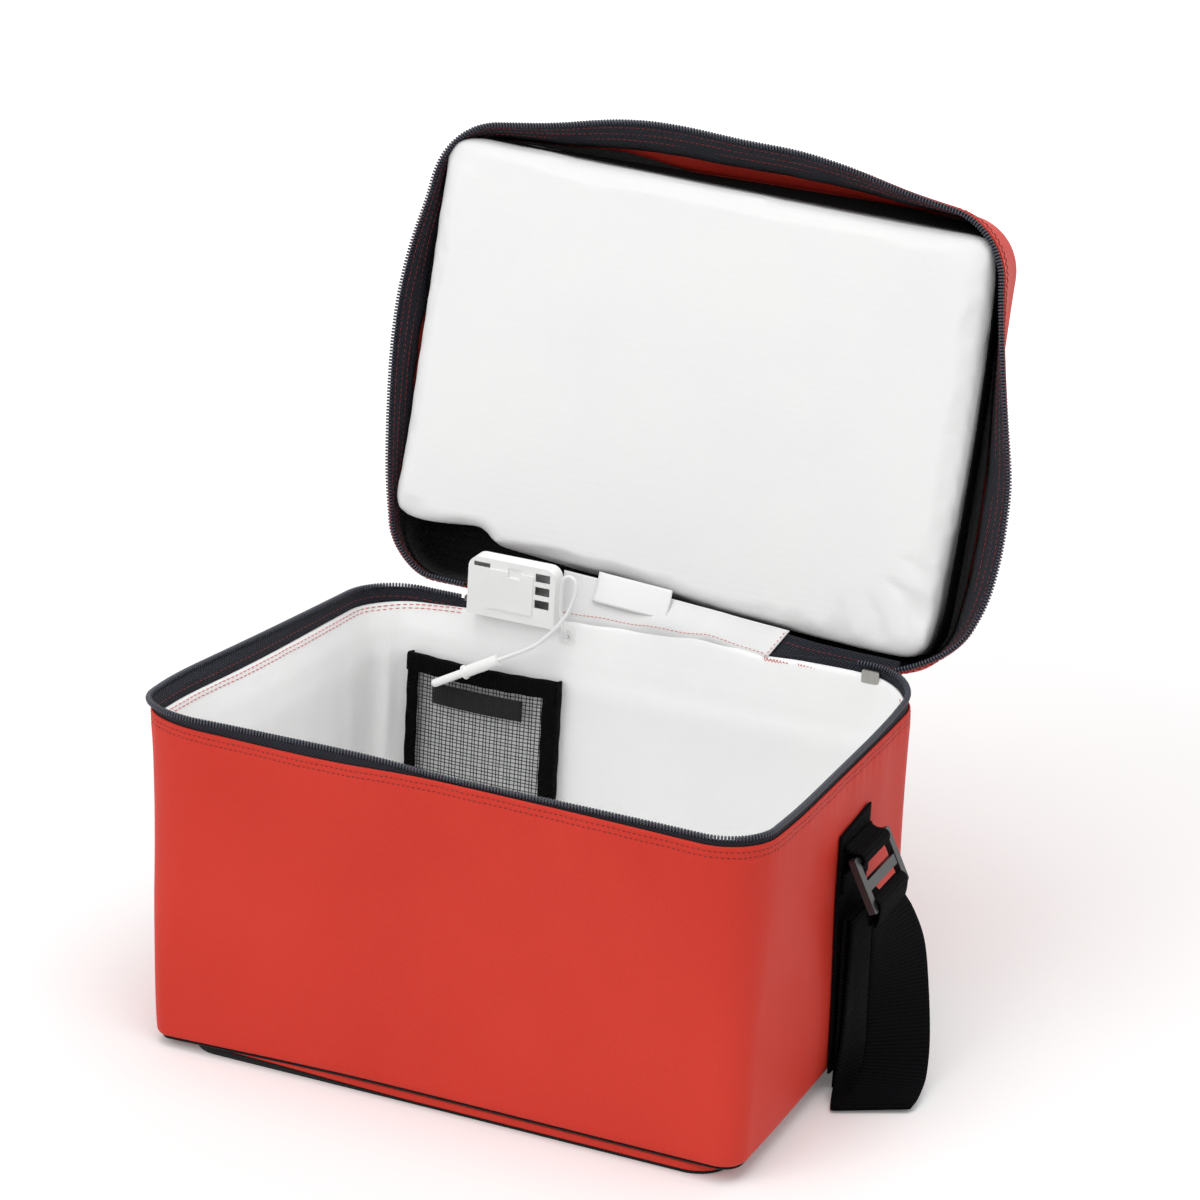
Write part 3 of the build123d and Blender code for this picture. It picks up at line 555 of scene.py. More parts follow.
def metal_look(name, colour, roughness):
    look = Look(name, roughness, metallic=1.0)
    scratch = look.noise(700, 3)
    look.colour(look.blend(scratch, colour, tuple(c * 0.86 for c in colour)))
    look.rough(look.noise(120, 3), roughness * 0.8, roughness * 1.3)
    look.bump(scratch, 0.00003, 0.5)
    return look.material


LOOKS = {
    "red": red_look("red_coated_cloth"),
    "white": white_look("white_lining", 0.95),
    # painted shade: the flap's white cloth is set darker than the lining's, standing in for the shade the pad casts
    # over it
    "flap": white_look("white_flap_painted_shade", 0.80),
    "pad": white_look("pad_cover_cloth", 0.86, 0.0007, (0.45, 0.6)),
    "tape": tape_look("zip_tape_cloth"),
    "teeth": plastic_look("zip_coil", (0.030, 0.034, 0.050), 0.33, 0.00003),
    "webbing": webbing_look("black_webbing"),
    "binding": webbing_look("black_grosgrain", (0.0015, 0.0015, 0.0016), (0.008, 0.008, 0.0085), 800),
    "black": plain_cloth_look("black_cloth", (0.003, 0.003, 0.003), (0.009, 0.009, 0.010)),
    "net": plain_cloth_look("black_net", (0.006, 0.006, 0.007), (0.020, 0.020, 0.022), 2000, 0.6),
    "red_thread": thread_look("dark_red_thread", (0.22, 0.014, 0.012)),
    "orange_thread": thread_look("bright_red_thread", (0.80, 0.075, 0.045)),
    "maroon_thread": thread_look("maroon_thread", (0.26, 0.020, 0.024)),
    "white_plastic": plastic_look("white_moulding", (0.94, 0.94, 0.93), 0.36),
    "lead": plastic_look("white_sleeve", (0.88, 0.88, 0.88), 0.42),
    "black_plastic": plastic_look("black_buckle", (0.012, 0.012, 0.013), 0.33),
    # painted shade: the latch seen through the housing's openings is coloured dark maroon to stand in for the shade
    # inside them
    "latch": plastic_look("latch_painted_shade", (0.022, 0.008, 0.008), 0.45),
    "grey_plastic": plastic_look("grey_rubber", (0.035, 0.035, 0.04), 0.6, 0.00012),
    "nickel": metal_look("nickel", (0.62, 0.60, 0.57), 0.30),
    "slider": metal_look("dull_nickel", (0.52, 0.51, 0.48), 0.36),
    "dark_stop": metal_look("dark_stop", (0.22, 0.21, 0.20), 0.4),
    "foam": plain_cloth_look("closed_cell_foam", (0.62, 0.62, 0.60), (0.74, 0.74, 0.72), 1600, 0.9),
    "board": plastic_look("green_board", (0.010, 0.10, 0.035), 0.4),
    "screen": plastic_look("liquid_crystal", (0.30, 0.35, 0.28), 0.2),
}


def glass_look():
    look = Look("clear_window", 0.06, alpha=0.22)
    look.colour(look.blend(look.noise(20, 2), (0.80, 0.86, 0.86), (0.72, 0.79, 0.79)))
    look.bump(look.noise(200, 2), 0.00002, 0.3)
    return look.material


LOOKS["window"] = glass_look()
lead.data.materials.append(LOOKS["lead"])


def housing_look():
    """White moulding with painted shade: the faces deep inside its openings are coloured near-black."""
    look = Look("white_housing", 0.36)
    split = look.node("ShaderNodeSeparateXYZ", {0: look.place()})
    # painted shade: faces behind y 102.1 mm, within the openings' box, take a near-black colour for the shade in the
    # recesses
    deep = look.math("GREATER_THAN", split.outputs["Y"], 0.1021)
    for axis, low, high in (("X", -0.0895, -0.0465), ("Z", 0.1635, 0.1895)):
        deep = look.math("MULTIPLY", deep, look.math("GREATER_THAN", split.outputs[axis], low))
        deep = look.math("MULTIPLY", deep, look.math("LESS_THAN", split.outputs[axis], high))
    look.colour(look.blend(deep, look.blend(look.noise(25, 3), (0.95, 0.95, 0.94), (0.90, 0.90, 0.89)),
                           (0.020, 0.010, 0.010)))
    look.rough(look.noise(60, 3), 0.32, 0.44)
    look.bump(look.noise(900, 2), 0.00005, 0.5)
    return look.material


LOOKS["housing"] = housing_look()


def dress(node, look, bevel=0.0, segments=3):
    """Gives a carried-over CAD node its finish, and a small bevel where its edges are moulded."""
    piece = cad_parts[node]
    piece.data.materials.clear()
    piece.data.materials.append(LOOKS[look])
    if bevel:
        edge = piece.modifiers.new("edge", "BEVEL")
        edge.width = bevel * MM
        edge.segments = segments
        edge.limit_method = "ANGLE"
        edge.angle_limit = math.radians(35)


# ------------------------------------------------------------------ stitches and teeth
def tube_faces(start, rings, sides):
    """Quads round a tube of rings whose points begin at start, and its two ends."""
    faces = []
    for r in range(rings - 1):
        a, b = start + r * sides, start + (r + 1) * sides
        for k in range(sides):
            k2 = (k + 1) % sides
            faces.append((a + k, a + k2, b + k2, b + k))
    faces.append([start + k for k in range(sides - 1, -1, -1)])
    faces.append([start + (rings - 1) * sides + k for k in range(sides)])
    return faces


def stitch_mesh(places, tangents, normals, length, radius, lift):
    """Points and faces of short threads lying on a cloth, each pressed in at its ends."""
    sides, rings = 6, [(-0.5, 0.35, -1.1), (-0.3, 0.9, 0.0), (0.0, 1.0, 0.25), (0.3, 0.9, 0.0), (0.5, 0.35, -1.1)]
    verts, faces = [], []
    for place, tangent, normal in zip(places, tangents, normals):
        side = np.cross(tangent, normal)
        start = len(verts)
        for along, wide, high in rings:
            centre = place + tangent * along * length + normal * (lift + high * radius)
            for k in range(sides):
                angle = 2 * math.pi * k / sides
                verts.append(centre + (side * math.cos(angle) + normal * math.sin(angle)) * radius * wide)
        faces += tube_faces(start, len(rings), sides)
    return verts, faces


def resample(path, normals, pitch, closed=False):
    """Places, tangents and normals at even steps along a line of points."""
    path, normals = np.asarray(path, float), np.asarray(normals, float)
    if closed:
        path, normals = np.vstack([path, path[:1]]), np.vstack([normals, normals[:1]])
    run = run_along(path)
    marks = np.arange(pitch / 2, run[-1] - pitch / 4, pitch)
    ahead, back = pick(np.minimum(marks + 0.6, run[-1]), run, path), pick(np.maximum(marks - 0.6, 0), run, path)
    tangent = unit(ahead - back)
    normal = pick(marks, run, normals)
    normal -= tangent * (normal * tangent).sum(1)[:, None]
    return pick(marks, run, path), tangent, unit(normal)


def stitches(name, lines, look, body, pitch=3.4, length=2.6, radius=0.28, lift=0.05, closed=False):
    """Rows of thread, one piece; lines holds (points, normals) for each row."""
    verts, faces = [], []
    for path, normals in lines:
        more, quads = stitch_mesh(*resample(path, normals, pitch, closed), length, radius, lift)
        faces += [[i + len(verts) for i in f] for f in quads]
        verts += more
    made = from_arrays(name, verts, faces, LOOKS[look])
    if body:
        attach(made, body)
    return made


def teeth(name, path, normals, up):
    """A coil zip's row of teeth: small rounded loops side by side along a line."""
    place, tangent, normal = resample(path, normals, 1.6)
    profile = [(-1.25, -1.0), (-1.5, 0.0), (-1.1, 0.95), (-0.35, 1.3), (0.35, 1.3), (1.1, 0.95), (1.5, 0.0),
               (1.25, -1.0)]
    verts, faces = [], []
    for p, t, n in zip(place, tangent, normal):
        rise = np.cross(t, n)
        rise = rise if rise @ up > 0 else -rise
        start = len(verts)
        for along, scale in ((-0.62, 0.72), (-0.34, 1.0), (0.34, 1.0), (0.62, 0.72)):
            for across, high in profile:
                verts.append(p + t * along * 0.85 + n * across * scale + rise * high * scale)
        faces += tube_faces(start, 4, len(profile))
    return from_arrays(name, verts, faces, LOOKS["teeth"])


# ------------------------------------------------------------------ case
STITCH_ROWS = (157.6, 155.0)    # heights of the thread rows below the case's rim


def pucker(z):
    """The small gathers that the rim's stitching draws into the cloth below it."""
    fade = math.exp(-((z - 154) / 8.0) ** 2)
    wave = np.sin(NOMINAL_S * 2 * math.pi / 8.5 + 1.7 * np.sin(NOMINAL_S / 37.0))
    long = np.sin(NOMINAL_S * 2 * math.pi / 31.0 + 2.1 * np.sin(NOMINAL_S / 90.0))
    tall = math.exp(-((z - 150) / 40.0) ** 2)
    return 0.22 * (fade * wave + 0.9 * tall * long)


def make_shell():
    """The red case: floor, wall, rim and the wall's inner face, then the floor's inner face."""
    rows = fan(np.array([0, 0, 7.6]), case_ring(6, 7.6), (0.02, 0.3, 0.6, 0.85, 1.0))
    for angle in range(0, 91, 15):
        a = math.radians(angle)
        rows.append(case_ring(4.5 * (1 - math.sin(a)), 7.5 + 4.5 * (1 - math.cos(a)), cloth=0.5 + 0.5 * math.sin(a)))
    heights = list(np.arange(15, 146, 3.6)) + list(np.arange(147, 159.6, 0.9))
    for z in heights:
        ring = case_ring(0, z, slack=0.55, cloth=1.0)
        groove = sum(0.30 * math.exp(-((z - row) / 0.7) ** 2) for row in STITCH_ROWS)
        ring[:, :2] += NORMAL * (pucker(z) - groove)[:, None]
        rows.append(ring)
    rows += [case_ring(0.15, 160.0, cloth=1.0), case_ring(0.6, 160.4, cloth=1.0), case_ring(1.1, 160.0, cloth=1.0)]
    rows += [case_ring(1.2, z, slack=0.55) for z in (150, 120, 80, 40, 14)]
    rows += fan(np.array([0, 0, 9.0]), case_ring(5, 9), (1.0, 0.85, 0.6, 0.3, 0.02))
    fit(skin("case_shell", rows, LOOKS["red"]), "case", "red_fabric", "outer_shell")
    lines = []
    for row in STITCH_ROWS:
        ring = case_ring(0, row, slack=0.55, cloth=1.0)
        ring[:, :2] += NORMAL * (pucker(row) - 0.30)[:, None]
        lines.append((ring, OUTWARD))
    stitches("case_rim_stitches", lines, "red_thread", "case", pitch=2.6, length=1.9, radius=0.24, closed=True)


def tape_ring(inset, z):
    """The case's tape and teeth stand off the cloth a little and rise towards the hinge."""
    ring = case_ring(inset, z)
    ring[:, :2] += NORMAL * (TAPE_OUT * float(step(z, 159.6, 163.6)))[:, None]
    ring[:, 2] += TAPE_UP * float(step(z, 152, 163))
    return ring


def make_case_zip():
    """The case's half of the zip: tape, coil and the thread that holds the tape."""
    outer = [tape_ring(1.4, z) for z in (150, 155, 158, 159.6, 160.6, 161.6, 162.4, 163.2)]
    inner = [tape_ring(2.5, z) for z in (163.2, 162.4, 161.6, 160.6, 159.6, 158, 155, 150)]
    fit(skin("case_tape", outer + inner, LOOKS["tape"], round_m=True), "case", "zip_tape", "case_zip_tape")
    middle = tape_ring(1.9, ZIP - 2.0)
    order = in_order(~((middle[:, 1] > HALF_Y - 20) & (middle[:, 0] > -98) & (middle[:, 0] < 112)))
    coil = teeth("case_coil", middle[order], OUTWARD[order], np.array([0, 0, 1.0]))
    fit(coil, "case", "zip_teeth", "case_zip_teeth")
    lines = [(tape_ring(2.5, z), -OUTWARD) for z in (154.6, 158.4)]
    stitches("case_tape_stitches", lines, "maroon_thread", "case", radius=0.22, closed=True)


# How far the lining's top edge rises along the rear wall: (x, y, up).
REAR_RISE = around([(-142, 107, 0), (-118, 115, 2), (-95, 115, 4), (-60, 115, 7), (-26, 115, 9.5), (0, 115, 11.5),
                    (30, 115, 14.5), (50, 115, 12.5), (65, 115, 10.5), (80, 115, 12), (110, 115, 12.5), (125, 115, 12),
                    (142, 107, 9), (149, 90, 4), (150, 70, 1), (150, 50, 0), (0, -115, 0), (-150, 0, 0)], 5.0)[:, 0]


def liner_inset(z):
    """How far inside the case's outline the lining lies at a height: less at the rim, above the foam."""
    return float(np.interp(z, [0, 130, 143, 155, 175], [10.6, 10.6, 7.6, 2.7, 2.7]))


def liner_ring(inset, z, slack=0.0):
    """The lining's outline at a height; slack lets it sag inwards, least along the rear wall."""
    ring = case_ring(inset, z, radius=max(RADIUS - inset, 9.0))
    if slack:
        rear_wall = step(NOMINAL[:, 1], HALF_Y - 8, HALF_Y)
        soft = 0.7 * smooth_noise(level(z), 40, 1.3) + 0.3 * smooth_noise(level(z * 0.5), 15, 6.1)
        ring[:, :2] -= NORMAL * (slack * (1 - 0.75 * rear_wall) * (0.6 + soft))[:, None]
    return ring


def raised(ring, z):
    """Lifts the lining's top edge along the rear wall, where it runs up to the hinge."""
    ring[:, 2] += REAR_RISE * float(step(z, 138, 155))
    return ring


def make_liner():
    """The white lining: its outer face, its top edge, its creased inner face and its floor."""
    heights = [18.9, 20.2, 23, 28] + list(np.arange(34, 132, 5.0)) + list(np.arange(133, 154.6, 1.8))
    outer, inner = [], []
    crease = sum(depth * np.exp(-0.5 * (np.hypot(NOMINAL[:, 0] - x, NOMINAL[:, 1] - y) / wide) ** 2)
                 for x, y, wide, depth in ((-142, 108, 4.5, 2.2), (-105, 115, 1.4, 0.9), (-150, 70, 5, 1.4),
                                           (-150, 18, 6, 1.2), (142, 107, 5, 1.6), (128, 115, 3, 1.0)))
    for z in heights:
        inset = liner_inset(z)
        fold = crease * float(step(z, 30, 60)) * (0.55 + 0.45 * math.sin(z / 13.0))
        ring = raised(liner_ring(inset + 0.8, z, 1.3 if z > 28 else 0.3), z)
        ring[:, :2] -= NORMAL * (fold * (1 - float(step(z, 146, 154))))[:, None]
        inner.append(ring)
        outer.append(raised(liner_ring(inset, z, 1.3 if z > 28 else 0.3), z))
    top_out, top_in = raised(liner_ring(2.6, 155.0), 155), raised(liner_ring(3.6, 155.0), 155)
    floor = fan(np.array([0, 0, 18.9]), liner_ring(13.0, 18.9), (1.0, 0.8, 0.6, 0.4, 0.2, 0.02))
    for ring in floor:
        ring[:, 2] += 0.35 * smooth_noise(ring, 35, 4.4) + 0.35
    rows = fan(np.array([0, 0, 18.1]), liner_ring(12.6, 18.1), (0.02, 0.4, 0.8, 1.0))
    rows += outer + [top_out, top_in] + inner[::-1] + floor
    fit(skin("case_lining", rows, LOOKS["white"]), "case", "white_fabric", "liner")
    lines = []
    for z in (154.2, 152.5):
        ring = raised(liner_ring(liner_inset(z) + 0.8, z, 1.3), z)
        wander = 0.45 * np.sin(NOMINAL_S / 23.0) + 0.25 * np.sin(NOMINAL_S / 9.0)
        ring[:, 2] += wander * step(NOMINAL[:, 1], 60, HALF_Y)
        # The upper row stops at the hinge; the lower one is only at the rear left and the front left.
        seen = (ring[:, 0] < 0) & (ring[:, 1] < 0) if z < 154 else ring[:, 1] < HALF_Y - 12
        order = in_order(seen | (ring[:, 0] < -96))
        lines.append((ring[order], -OUTWARD[order]))
    stitches("lining_stitches", lines, "orange_thread", "case", radius=0.22, lift=0.25)


def make_wall_foam():
    """The foam in the four walls, one sleeve between the red cloth and the lining."""
    outer = [case_ring(2.0, z) for z in (18.4, 60, 100, 130, 149)]
    inner = [case_ring(min(9.2, liner_inset(z) - 1.6), z, radius=17) for z in (149, 130, 100, 60, 18.4)]
    foam = skin("wall_foam", outer + inner, LOOKS["foam"], round_m=True)
    fit(foam, "case", "foam", "front_foam", "rear_foam", "left_foam", "right_foam")
    dress("floor_foam", "foam")


def make_base():
    """The board under the base in its red cover, the black sheet below it and the black piping above."""
    def plate(grow, z):
        plan = rounded(HALF_X - 10 + grow, HALF_Y - 3 + grow, 16.0)
        plan[:, 0] += 7 * step(-plan[:, 0], 60, 140)
        return np.column_stack([plan + FOOT_BOW * 0.8, np.full(COUNT, z)])

    def slab(name, look, low, high, grow, node, slot, lift_low=0.0, lift_high=0.0):
        """A flat slab with round edges; lift_low and lift_high raise its two faces towards the left."""
        edge = min((high - low) / 2, 1.6)
        rows = fan(np.array([0, 0, low]), plate(grow - edge, low), (0.02, 0.5, 0.9))
        for angle in np.linspace(0, math.pi, 9):
            lift = low + edge * (1 - math.cos(angle)) if angle <= math.pi / 2 else high - edge * (1 + math.cos(angle))
            rows.append(plate(grow - edge * (1 - math.sin(angle)), lift))
        rows += fan(np.array([0, 0, high]), plate(grow - edge, high), (0.9, 0.5, 0.02))
        for ring in rows:
            share = (ring[:, 2] - low) / (high - low)
            amount = step(-ring[:, 0], 5, 130) * (0.35 + 0.65 * step(-ring[:, 1], -60, 60))
            ring[:, 2] += amount * (lift_low * (1 - share) + lift_high * share)
        fit(skin(name, rows, LOOKS[look]), "case", slot, node)

    # The black sheet is partly real and partly painted shade: with the red cover's lower face, it rises on the left and
    # widens the black band there for the contact shadow under the base.
    slab("base_cover", "red", 1.5, 6.0, 0.5, "base_panel", "red_fabric", lift_low=2.6)
    slab("base_underside", "black", 0.0, 1.4, -0.2, "base_sheet", "black_fabric", lift_high=2.6)
    piping = [case_ring(3.2 + 0.7 * math.cos(angle), 7.0 + 0.6 * math.sin(angle), cloth=0.8)
              for angle in 2 * math.pi * np.arange(8) / 8]
    fit(skin("base_cord", piping, LOOKS["black"], round_m=True), "case", "black_fabric", "base_piping")


make_shell()
make_case_zip()
make_liner()
make_wall_foam()
make_base()


# ------------------------------------------------------------------ lid
LID_TAPE_H = [3.0, 5.5, 8.5, 11.5, 14.0]    # depths of the tape's rings inside the lid


def lid_normals(h):
    """Directions square to the lid's flared wall, pointing out of the lid."""
    low, high = lid_ring(1.9, h - 1.5), lid_ring(1.9, h + 1.5)
    normal = unit(np.cross(np.roll(low, -1, 0) - np.roll(low, 1, 0), high - low))
    outside = np.column_stack([NORMAL[:, 0], np.zeros(COUNT), np.zeros(COUNT)]) - NORMAL[:, 1:2] * LID_V
    flip = np.sign((normal * outside).sum(1))
    return normal * flip[:, None]


def make_lid():
    """The lid's red cover: the panel's inner face, the band's inner and outer faces, then the crowned panel."""
    outer_heights = [4.6, 5.2, 6.5, 8.5, 11, 14, 17, 20, 24, 28, 32, 35]
    rows = fan(lid_place(0, HALF_Y, 43.6), lid_ring(13, 43.6), (0.02, 0.35, 0.7, 1.0))
    for angle in range(80, -1, -20):
        a = math.radians(angle)
        rows.append(lid_ring(1.5 + 9.5 * (1 - math.cos(a)), 34 + 9.3 * math.sin(a)))
    rows += [lid_ring(1.5, h, slack=0.4) for h in outer_heights[:0:-1]]
    rows.append(lid_ring(0.9, 4.6))
    rows += [lid_ring(0, h, slack=0.4) for h in outer_heights]
    for angle in range(15, 91, 15):
        a = math.radians(angle)
        rows.append(lid_ring(10 * (1 - math.cos(a)), 35 + 10 * math.sin(a), slack=0.4))
    centre = lid_place(0, HALF_Y, 45.0)
    top_edge = lid_ring(10, 45.0)
    for s in (0.97, 0.85, 0.7, 0.5, 0.3, 0.02):
        ring = centre + (top_edge - centre) * s
        crown = 2.0 * (1 - s * s)
        ripple = 0.8 * smooth_noise(ring, 45, 9.2) * (1 - s ** 6)
        rows.append(ring + (crown + ripple)[:, None] * LID_H)
    fit(skin("lid_cover", rows, LOOKS["red"]), "lid", "red_fabric", "lid_band", "lid_panel")
    lines = [(lid_ring(0, h, slack=0.4), lid_normals(h)) for h in (9.0, 12.6)]
    stitches("lid_rim_stitches", lines, "red_thread", "lid", closed=True, lift=0.1)


def make_lid_zip():
    """The lid's half of the zip; the tape's loose inner edge waves."""
    outer = [lid_ring(1.4, h) for h in LID_TAPE_H]
    wave = 1.1 * np.sin(NOMINAL_S / 9.5 + 1.2 * np.sin(NOMINAL_S / 31)) + 0.6 * np.sin(NOMINAL_S / 4.1)
    curl = OUTWARD * (0.3 * wave)[:, None]
    edge_out = lid_ring(2.0, 17.0) + wave[:, None] * LID_H - curl
    edge_in = lid_ring(3.0, 17.0) + wave[:, None] * LID_H - curl
    inner = [lid_ring(2.5, h) for h in LID_TAPE_H[::-1]]
    tape = skin("lid_tape", outer + [edge_out, edge_in] + inner, LOOKS["tape"], round_m=True)
    fit(tape, "lid", "zip_tape", "lid_zip_tape")
    middle = lid_ring(1.9, 1.9)
    normals = lid_normals(1.9)
    order = in_order(~((NOMINAL[:, 1] > HALF_Y - 2) & (NOMINAL[:, 0] > -98) & (NOMINAL[:, 0] < 112)))
    fit(teeth("lid_coil", middle[order], normals[order], -LID_H), "lid", "zip_teeth", "lid_zip_teeth")
    lines = []
    for h, wander in ((5.2, 0.25), (8.8, 0.35), (12.2, 0.6)):
        ring = lid_ring(2.5, h)
        ring += (wander * np.sin(NOMINAL_S / 11.0 + h))[:, None] * LID_H
        lines.append((ring, -lid_normals(h)))
    stitches("lid_tape_stitches", lines, "maroon_thread", "lid", pitch=2.9, length=2.3, radius=0.26, lift=0.05,
             closed=True)


def make_lid_lining():
    """Black cloth inside the lid; along the top right it starts deeper, and the red band shows."""
    bare = around([(-120, -115, 0), (-60, -115, 0.0), (-25, -115, 1), (100, -115, 1), (140, -107, 0.4),
                   (150, -70, 0), (150, 80, 0), (100, 115, 0), (-100, 115, 0), (-150, 0, 0)], 7.0)[:, 0]

    def wall(inset, heights):
        """Rings of the lining's wall, set deeper into the lid where the band is bare."""
        pairs = [(lid_ring(inset, 18.4 + h), lid_ring(inset, 30 + h * 0.3)) for h in heights]
        return [ring + (deep - ring) * bare[:, None] for ring, deep in pairs]

    rows = wall(3.6, (0.0, 2.0, 6.0, 10.0))
    rows += [lid_ring(3.6, 34), lid_ring(5.0, 39.5), lid_ring(9.0, 42.7)]
    centre, edge = lid_place(0, HALF_Y, 42.8), lid_ring(12.0, 42.8)
    rows += fan(centre, edge, (1.0, 0.6, 0.02))
    rows += [centre + LID_H * 0.7 + (edge - centre) * s for s in (0.02, 0.6, 1.0)]
    rows += [lid_ring(9.0, 43.4), lid_ring(4.2, 39.5), lid_ring(2.8, 34)] + wall(2.8, (10.0, 6.0, 2.0, 0.0))
    fit(skin("lid_inside", rows, LOOKS["black"], round_m=True), "lid", "lid_lining", "lid_lining")


# The pad's outline on the open lid: (x, v), from the hinge's left end round to the right.
PAD_LINE = [(-146.5, 34.5), (-139, 31.4), (-127, 30.2), (-108, 31.6), (-98, 31.2), (-94.5, 29.4), (-91.5, 25.4),
            (-87, 24.2), (-70, 23.0), (-40, 21.0), (-16, 19.4), (28, 15.4), (77, 11.8), (114, 9.8), (130, 9.6),
            (139, 11.0), (144.5, 15.5), (146.5, 24), (148, 50), (149, 80), (149.5, 110), (149.2, 150), (148.4, 185),
            (147.4, 207), (145.6, 217.8), (140, 221.0), (122, 221.2), (100, 221.5), (50, 223.3), (0, 225), (-60, 227.6),
            (-115, 229.6), (-135, 230.4), (-144, 229.6), (-148.6, 224), (-149.2, 208), (-149.3, 160), (-149.2, 120),
            (-149.0, 80), (-149.0, 50), (-148.8, 39)]


def closed_curve(points, count):
    """Points at even steps round a smooth closed curve through the given ones."""
    p = np.array(points, float)
    result = []
    n = len(p)
    for i in range(n):
        p0, p1, p2, p3 = p[i - 1], p[i], p[(i + 1) % n], p[(i + 2) % n]
        knots = [0.0]
        for a, b in ((p0, p1), (p1, p2), (p2, p3)):
            knots.append(knots[-1] + np.linalg.norm(b - a) ** 0.5)
        t0, t1, t2, t3 = knots
        for t in np.linspace(t1, t2, 14, endpoint=False):
            a1 = (t1 - t) / (t1 - t0) * p0 + (t - t0) / (t1 - t0) * p1
            a2 = (t2 - t) / (t2 - t1) * p1 + (t - t1) / (t2 - t1) * p2
            a3 = (t3 - t) / (t3 - t2) * p2 + (t - t2) / (t3 - t2) * p3
            b1 = (t2 - t) / (t2 - t0) * a1 + (t - t0) / (t2 - t0) * a2
            b2 = (t3 - t) / (t3 - t1) * a2 + (t - t1) / (t3 - t1) * a3
            result.append((t2 - t) / (t2 - t1) * b1 + (t - t1) / (t2 - t1) * b2)
    closed = np.array(result + result[:1])
    run = run_along(closed)
    return pick(np.linspace(0, run[-1], count, endpoint=False), run, closed)


def pad_rows(shrink=0.0):
    """The pad's cover as rings: from the back's centre round its edge to the front's centre."""
    line = closed_curve(PAD_LINE, 420)
    ahead = unit(np.roll(line, -1, 0) - np.roll(line, 1, 0))
    inward = np.stack([-ahead[:, 1], ahead[:, 0]], 1)
    centre = np.array([1.0, 118.0])
    if ((centre - line) * inward).sum() < 0:
        inward = -inward
    front, back, edge, lip = 1.8, 41.5, 10.0, 4.6
    profile = [(edge * (1 - math.sin(math.radians(a))), back - edge * (1 - math.cos(math.radians(a))))
               for a in range(0, 91, 15)]
    profile += [(0.0, 22.0)]
    profile += [(lip * (1 - math.cos(math.radians(a))), front + lip * (1 - math.sin(math.radians(a))))
                for a in range(0, 91, 15)]
    plans = [(line + inward * (inset + shrink), h) for inset, h in profile]
    rows = [(plan, back) for plan in fan(centre, plans[0][0], (0.02, 0.3, 0.6, 0.85))] + plans
    rows += [(plan, front) for plan in fan(centre, plans[-1][0], (0.92, 0.8, 0.65, 0.5, 0.35, 0.2, 0.02))]
    return [lid_place(plan[:, 0], plan[:, 1], np.full(len(line), h)) for plan, h in rows]


def pad_shape(points):
    """Pulls the pad's cloth into the folds it has: points in millimetres, in the row frame."""
    x = points[:, 0]
    v, h = (points - HINGE) @ LID_V, (points - HINGE) @ LID_H
    face = 1 - step(h, 10, 26)
    edge = np.minimum.reduce([x + 146, 148 - x, v - 16, 224 - v])
    near = 1 - step(edge, 4, 55)
    crown = -1.6 * step(edge, 0, 70) * face
    dents = 0.9 * smooth_noise(np.column_stack([x, v, h * 0.3]), 52, 2.2)
    fine = 0.55 * smooth_noise(np.column_stack([x, v, h * 0.3]), 21, 7.7) * (0.25 + near)
    folds = np.zeros(len(points))
    for x0, v0, angle, length, depth, width in (
            (128, 205, 215, 30, 1.0, 4.2), (138, 196, 240, 26, 0.9, 3.8), (118, 214, 200, 26, 0.7, 3.6),
            (120, 22, 118, 40, 2.4, 3.8), (100, 17, 105, 32, 1.8, 3.4), (138, 32, 140, 40, 2.6, 3.6),
            (142, 52, 165, 30, 1.6, 3.2), (76, 16, 96, 24, 1.0, 3.2), (-136, 40, 35, 34, 1.6, 4.0),
            (-132, 216, -40, 28, 1.3, 3.6)):
        a = math.radians(angle)
        along = (x - x0) * math.cos(a) + (v - v0) * math.sin(a)
        across = -(x - x0) * math.sin(a) + (v - v0) * math.cos(a)
        across = across + 2.0 * np.sin(along / 9.0)
        valley = np.exp(-0.5 * (across / width) ** 2)
        ridge = 0.6 * np.exp(-0.5 * ((across - 2.2 * width) / width) ** 2)
        fades = step(along, -8, 2), 1 - step(along, length * 0.4, length)
        folds += depth * (valley * fades[0] * fades[1] - ridge * fades[0] * fades[1])
    move = crown + dents * face + fine * face + folds * face
    return points + move[:, None] * LID_H


def inside_lid(points, slack=0.0):
    """Keeps points within the lid's own cloth, which is tighter the deeper they lie in it."""
    x = points[:, 0].copy()
    v, h = (points - HINGE) @ LID_V, (points - HINGE) @ LID_H
    spread = np.interp(h, [0, 3.3, 10, 18, 30, 45], [7.0, 6.6, 4.8, 2.5, 0.6, 0.0])
    corner = np.interp(h, [30, 36, 41, 44], [0, 1.0, 3.2, 6.5])
    for side in (-1, 1):
        wide = HALF_X - 4.0 + slack + spread * (0.7 if side < 0 else 1.5) - corner
        x = np.where(side * x > wide, side * wide, x)
        for centre, way in ((HINGE_Y - (HALF_Y - RADIUS), -1), (HINGE_Y + HALF_Y - RADIUS, 1)):
            dx, dv = x - side * (HALF_X - RADIUS), v - centre
            far = np.hypot(dx, dv)
            reach = RADIUS - 4.0 + slack + spread * (1.45 if way > 0 and side > 0 else 1.0) - corner
            out = (side * dx > 0) & (way * dv > 0) & (far > reach)
            x = np.where(out, x - dx * (1 - reach / np.maximum(far, 1e-6)), x)
            v = np.where(out, v - dv * (1 - reach / np.maximum(far, 1e-6)), v)
    top = HINGE_Y + HALF_Y - 4.0 + slack + spread - corner
    v = np.minimum(v, top)
    return lid_place(x, v, h)


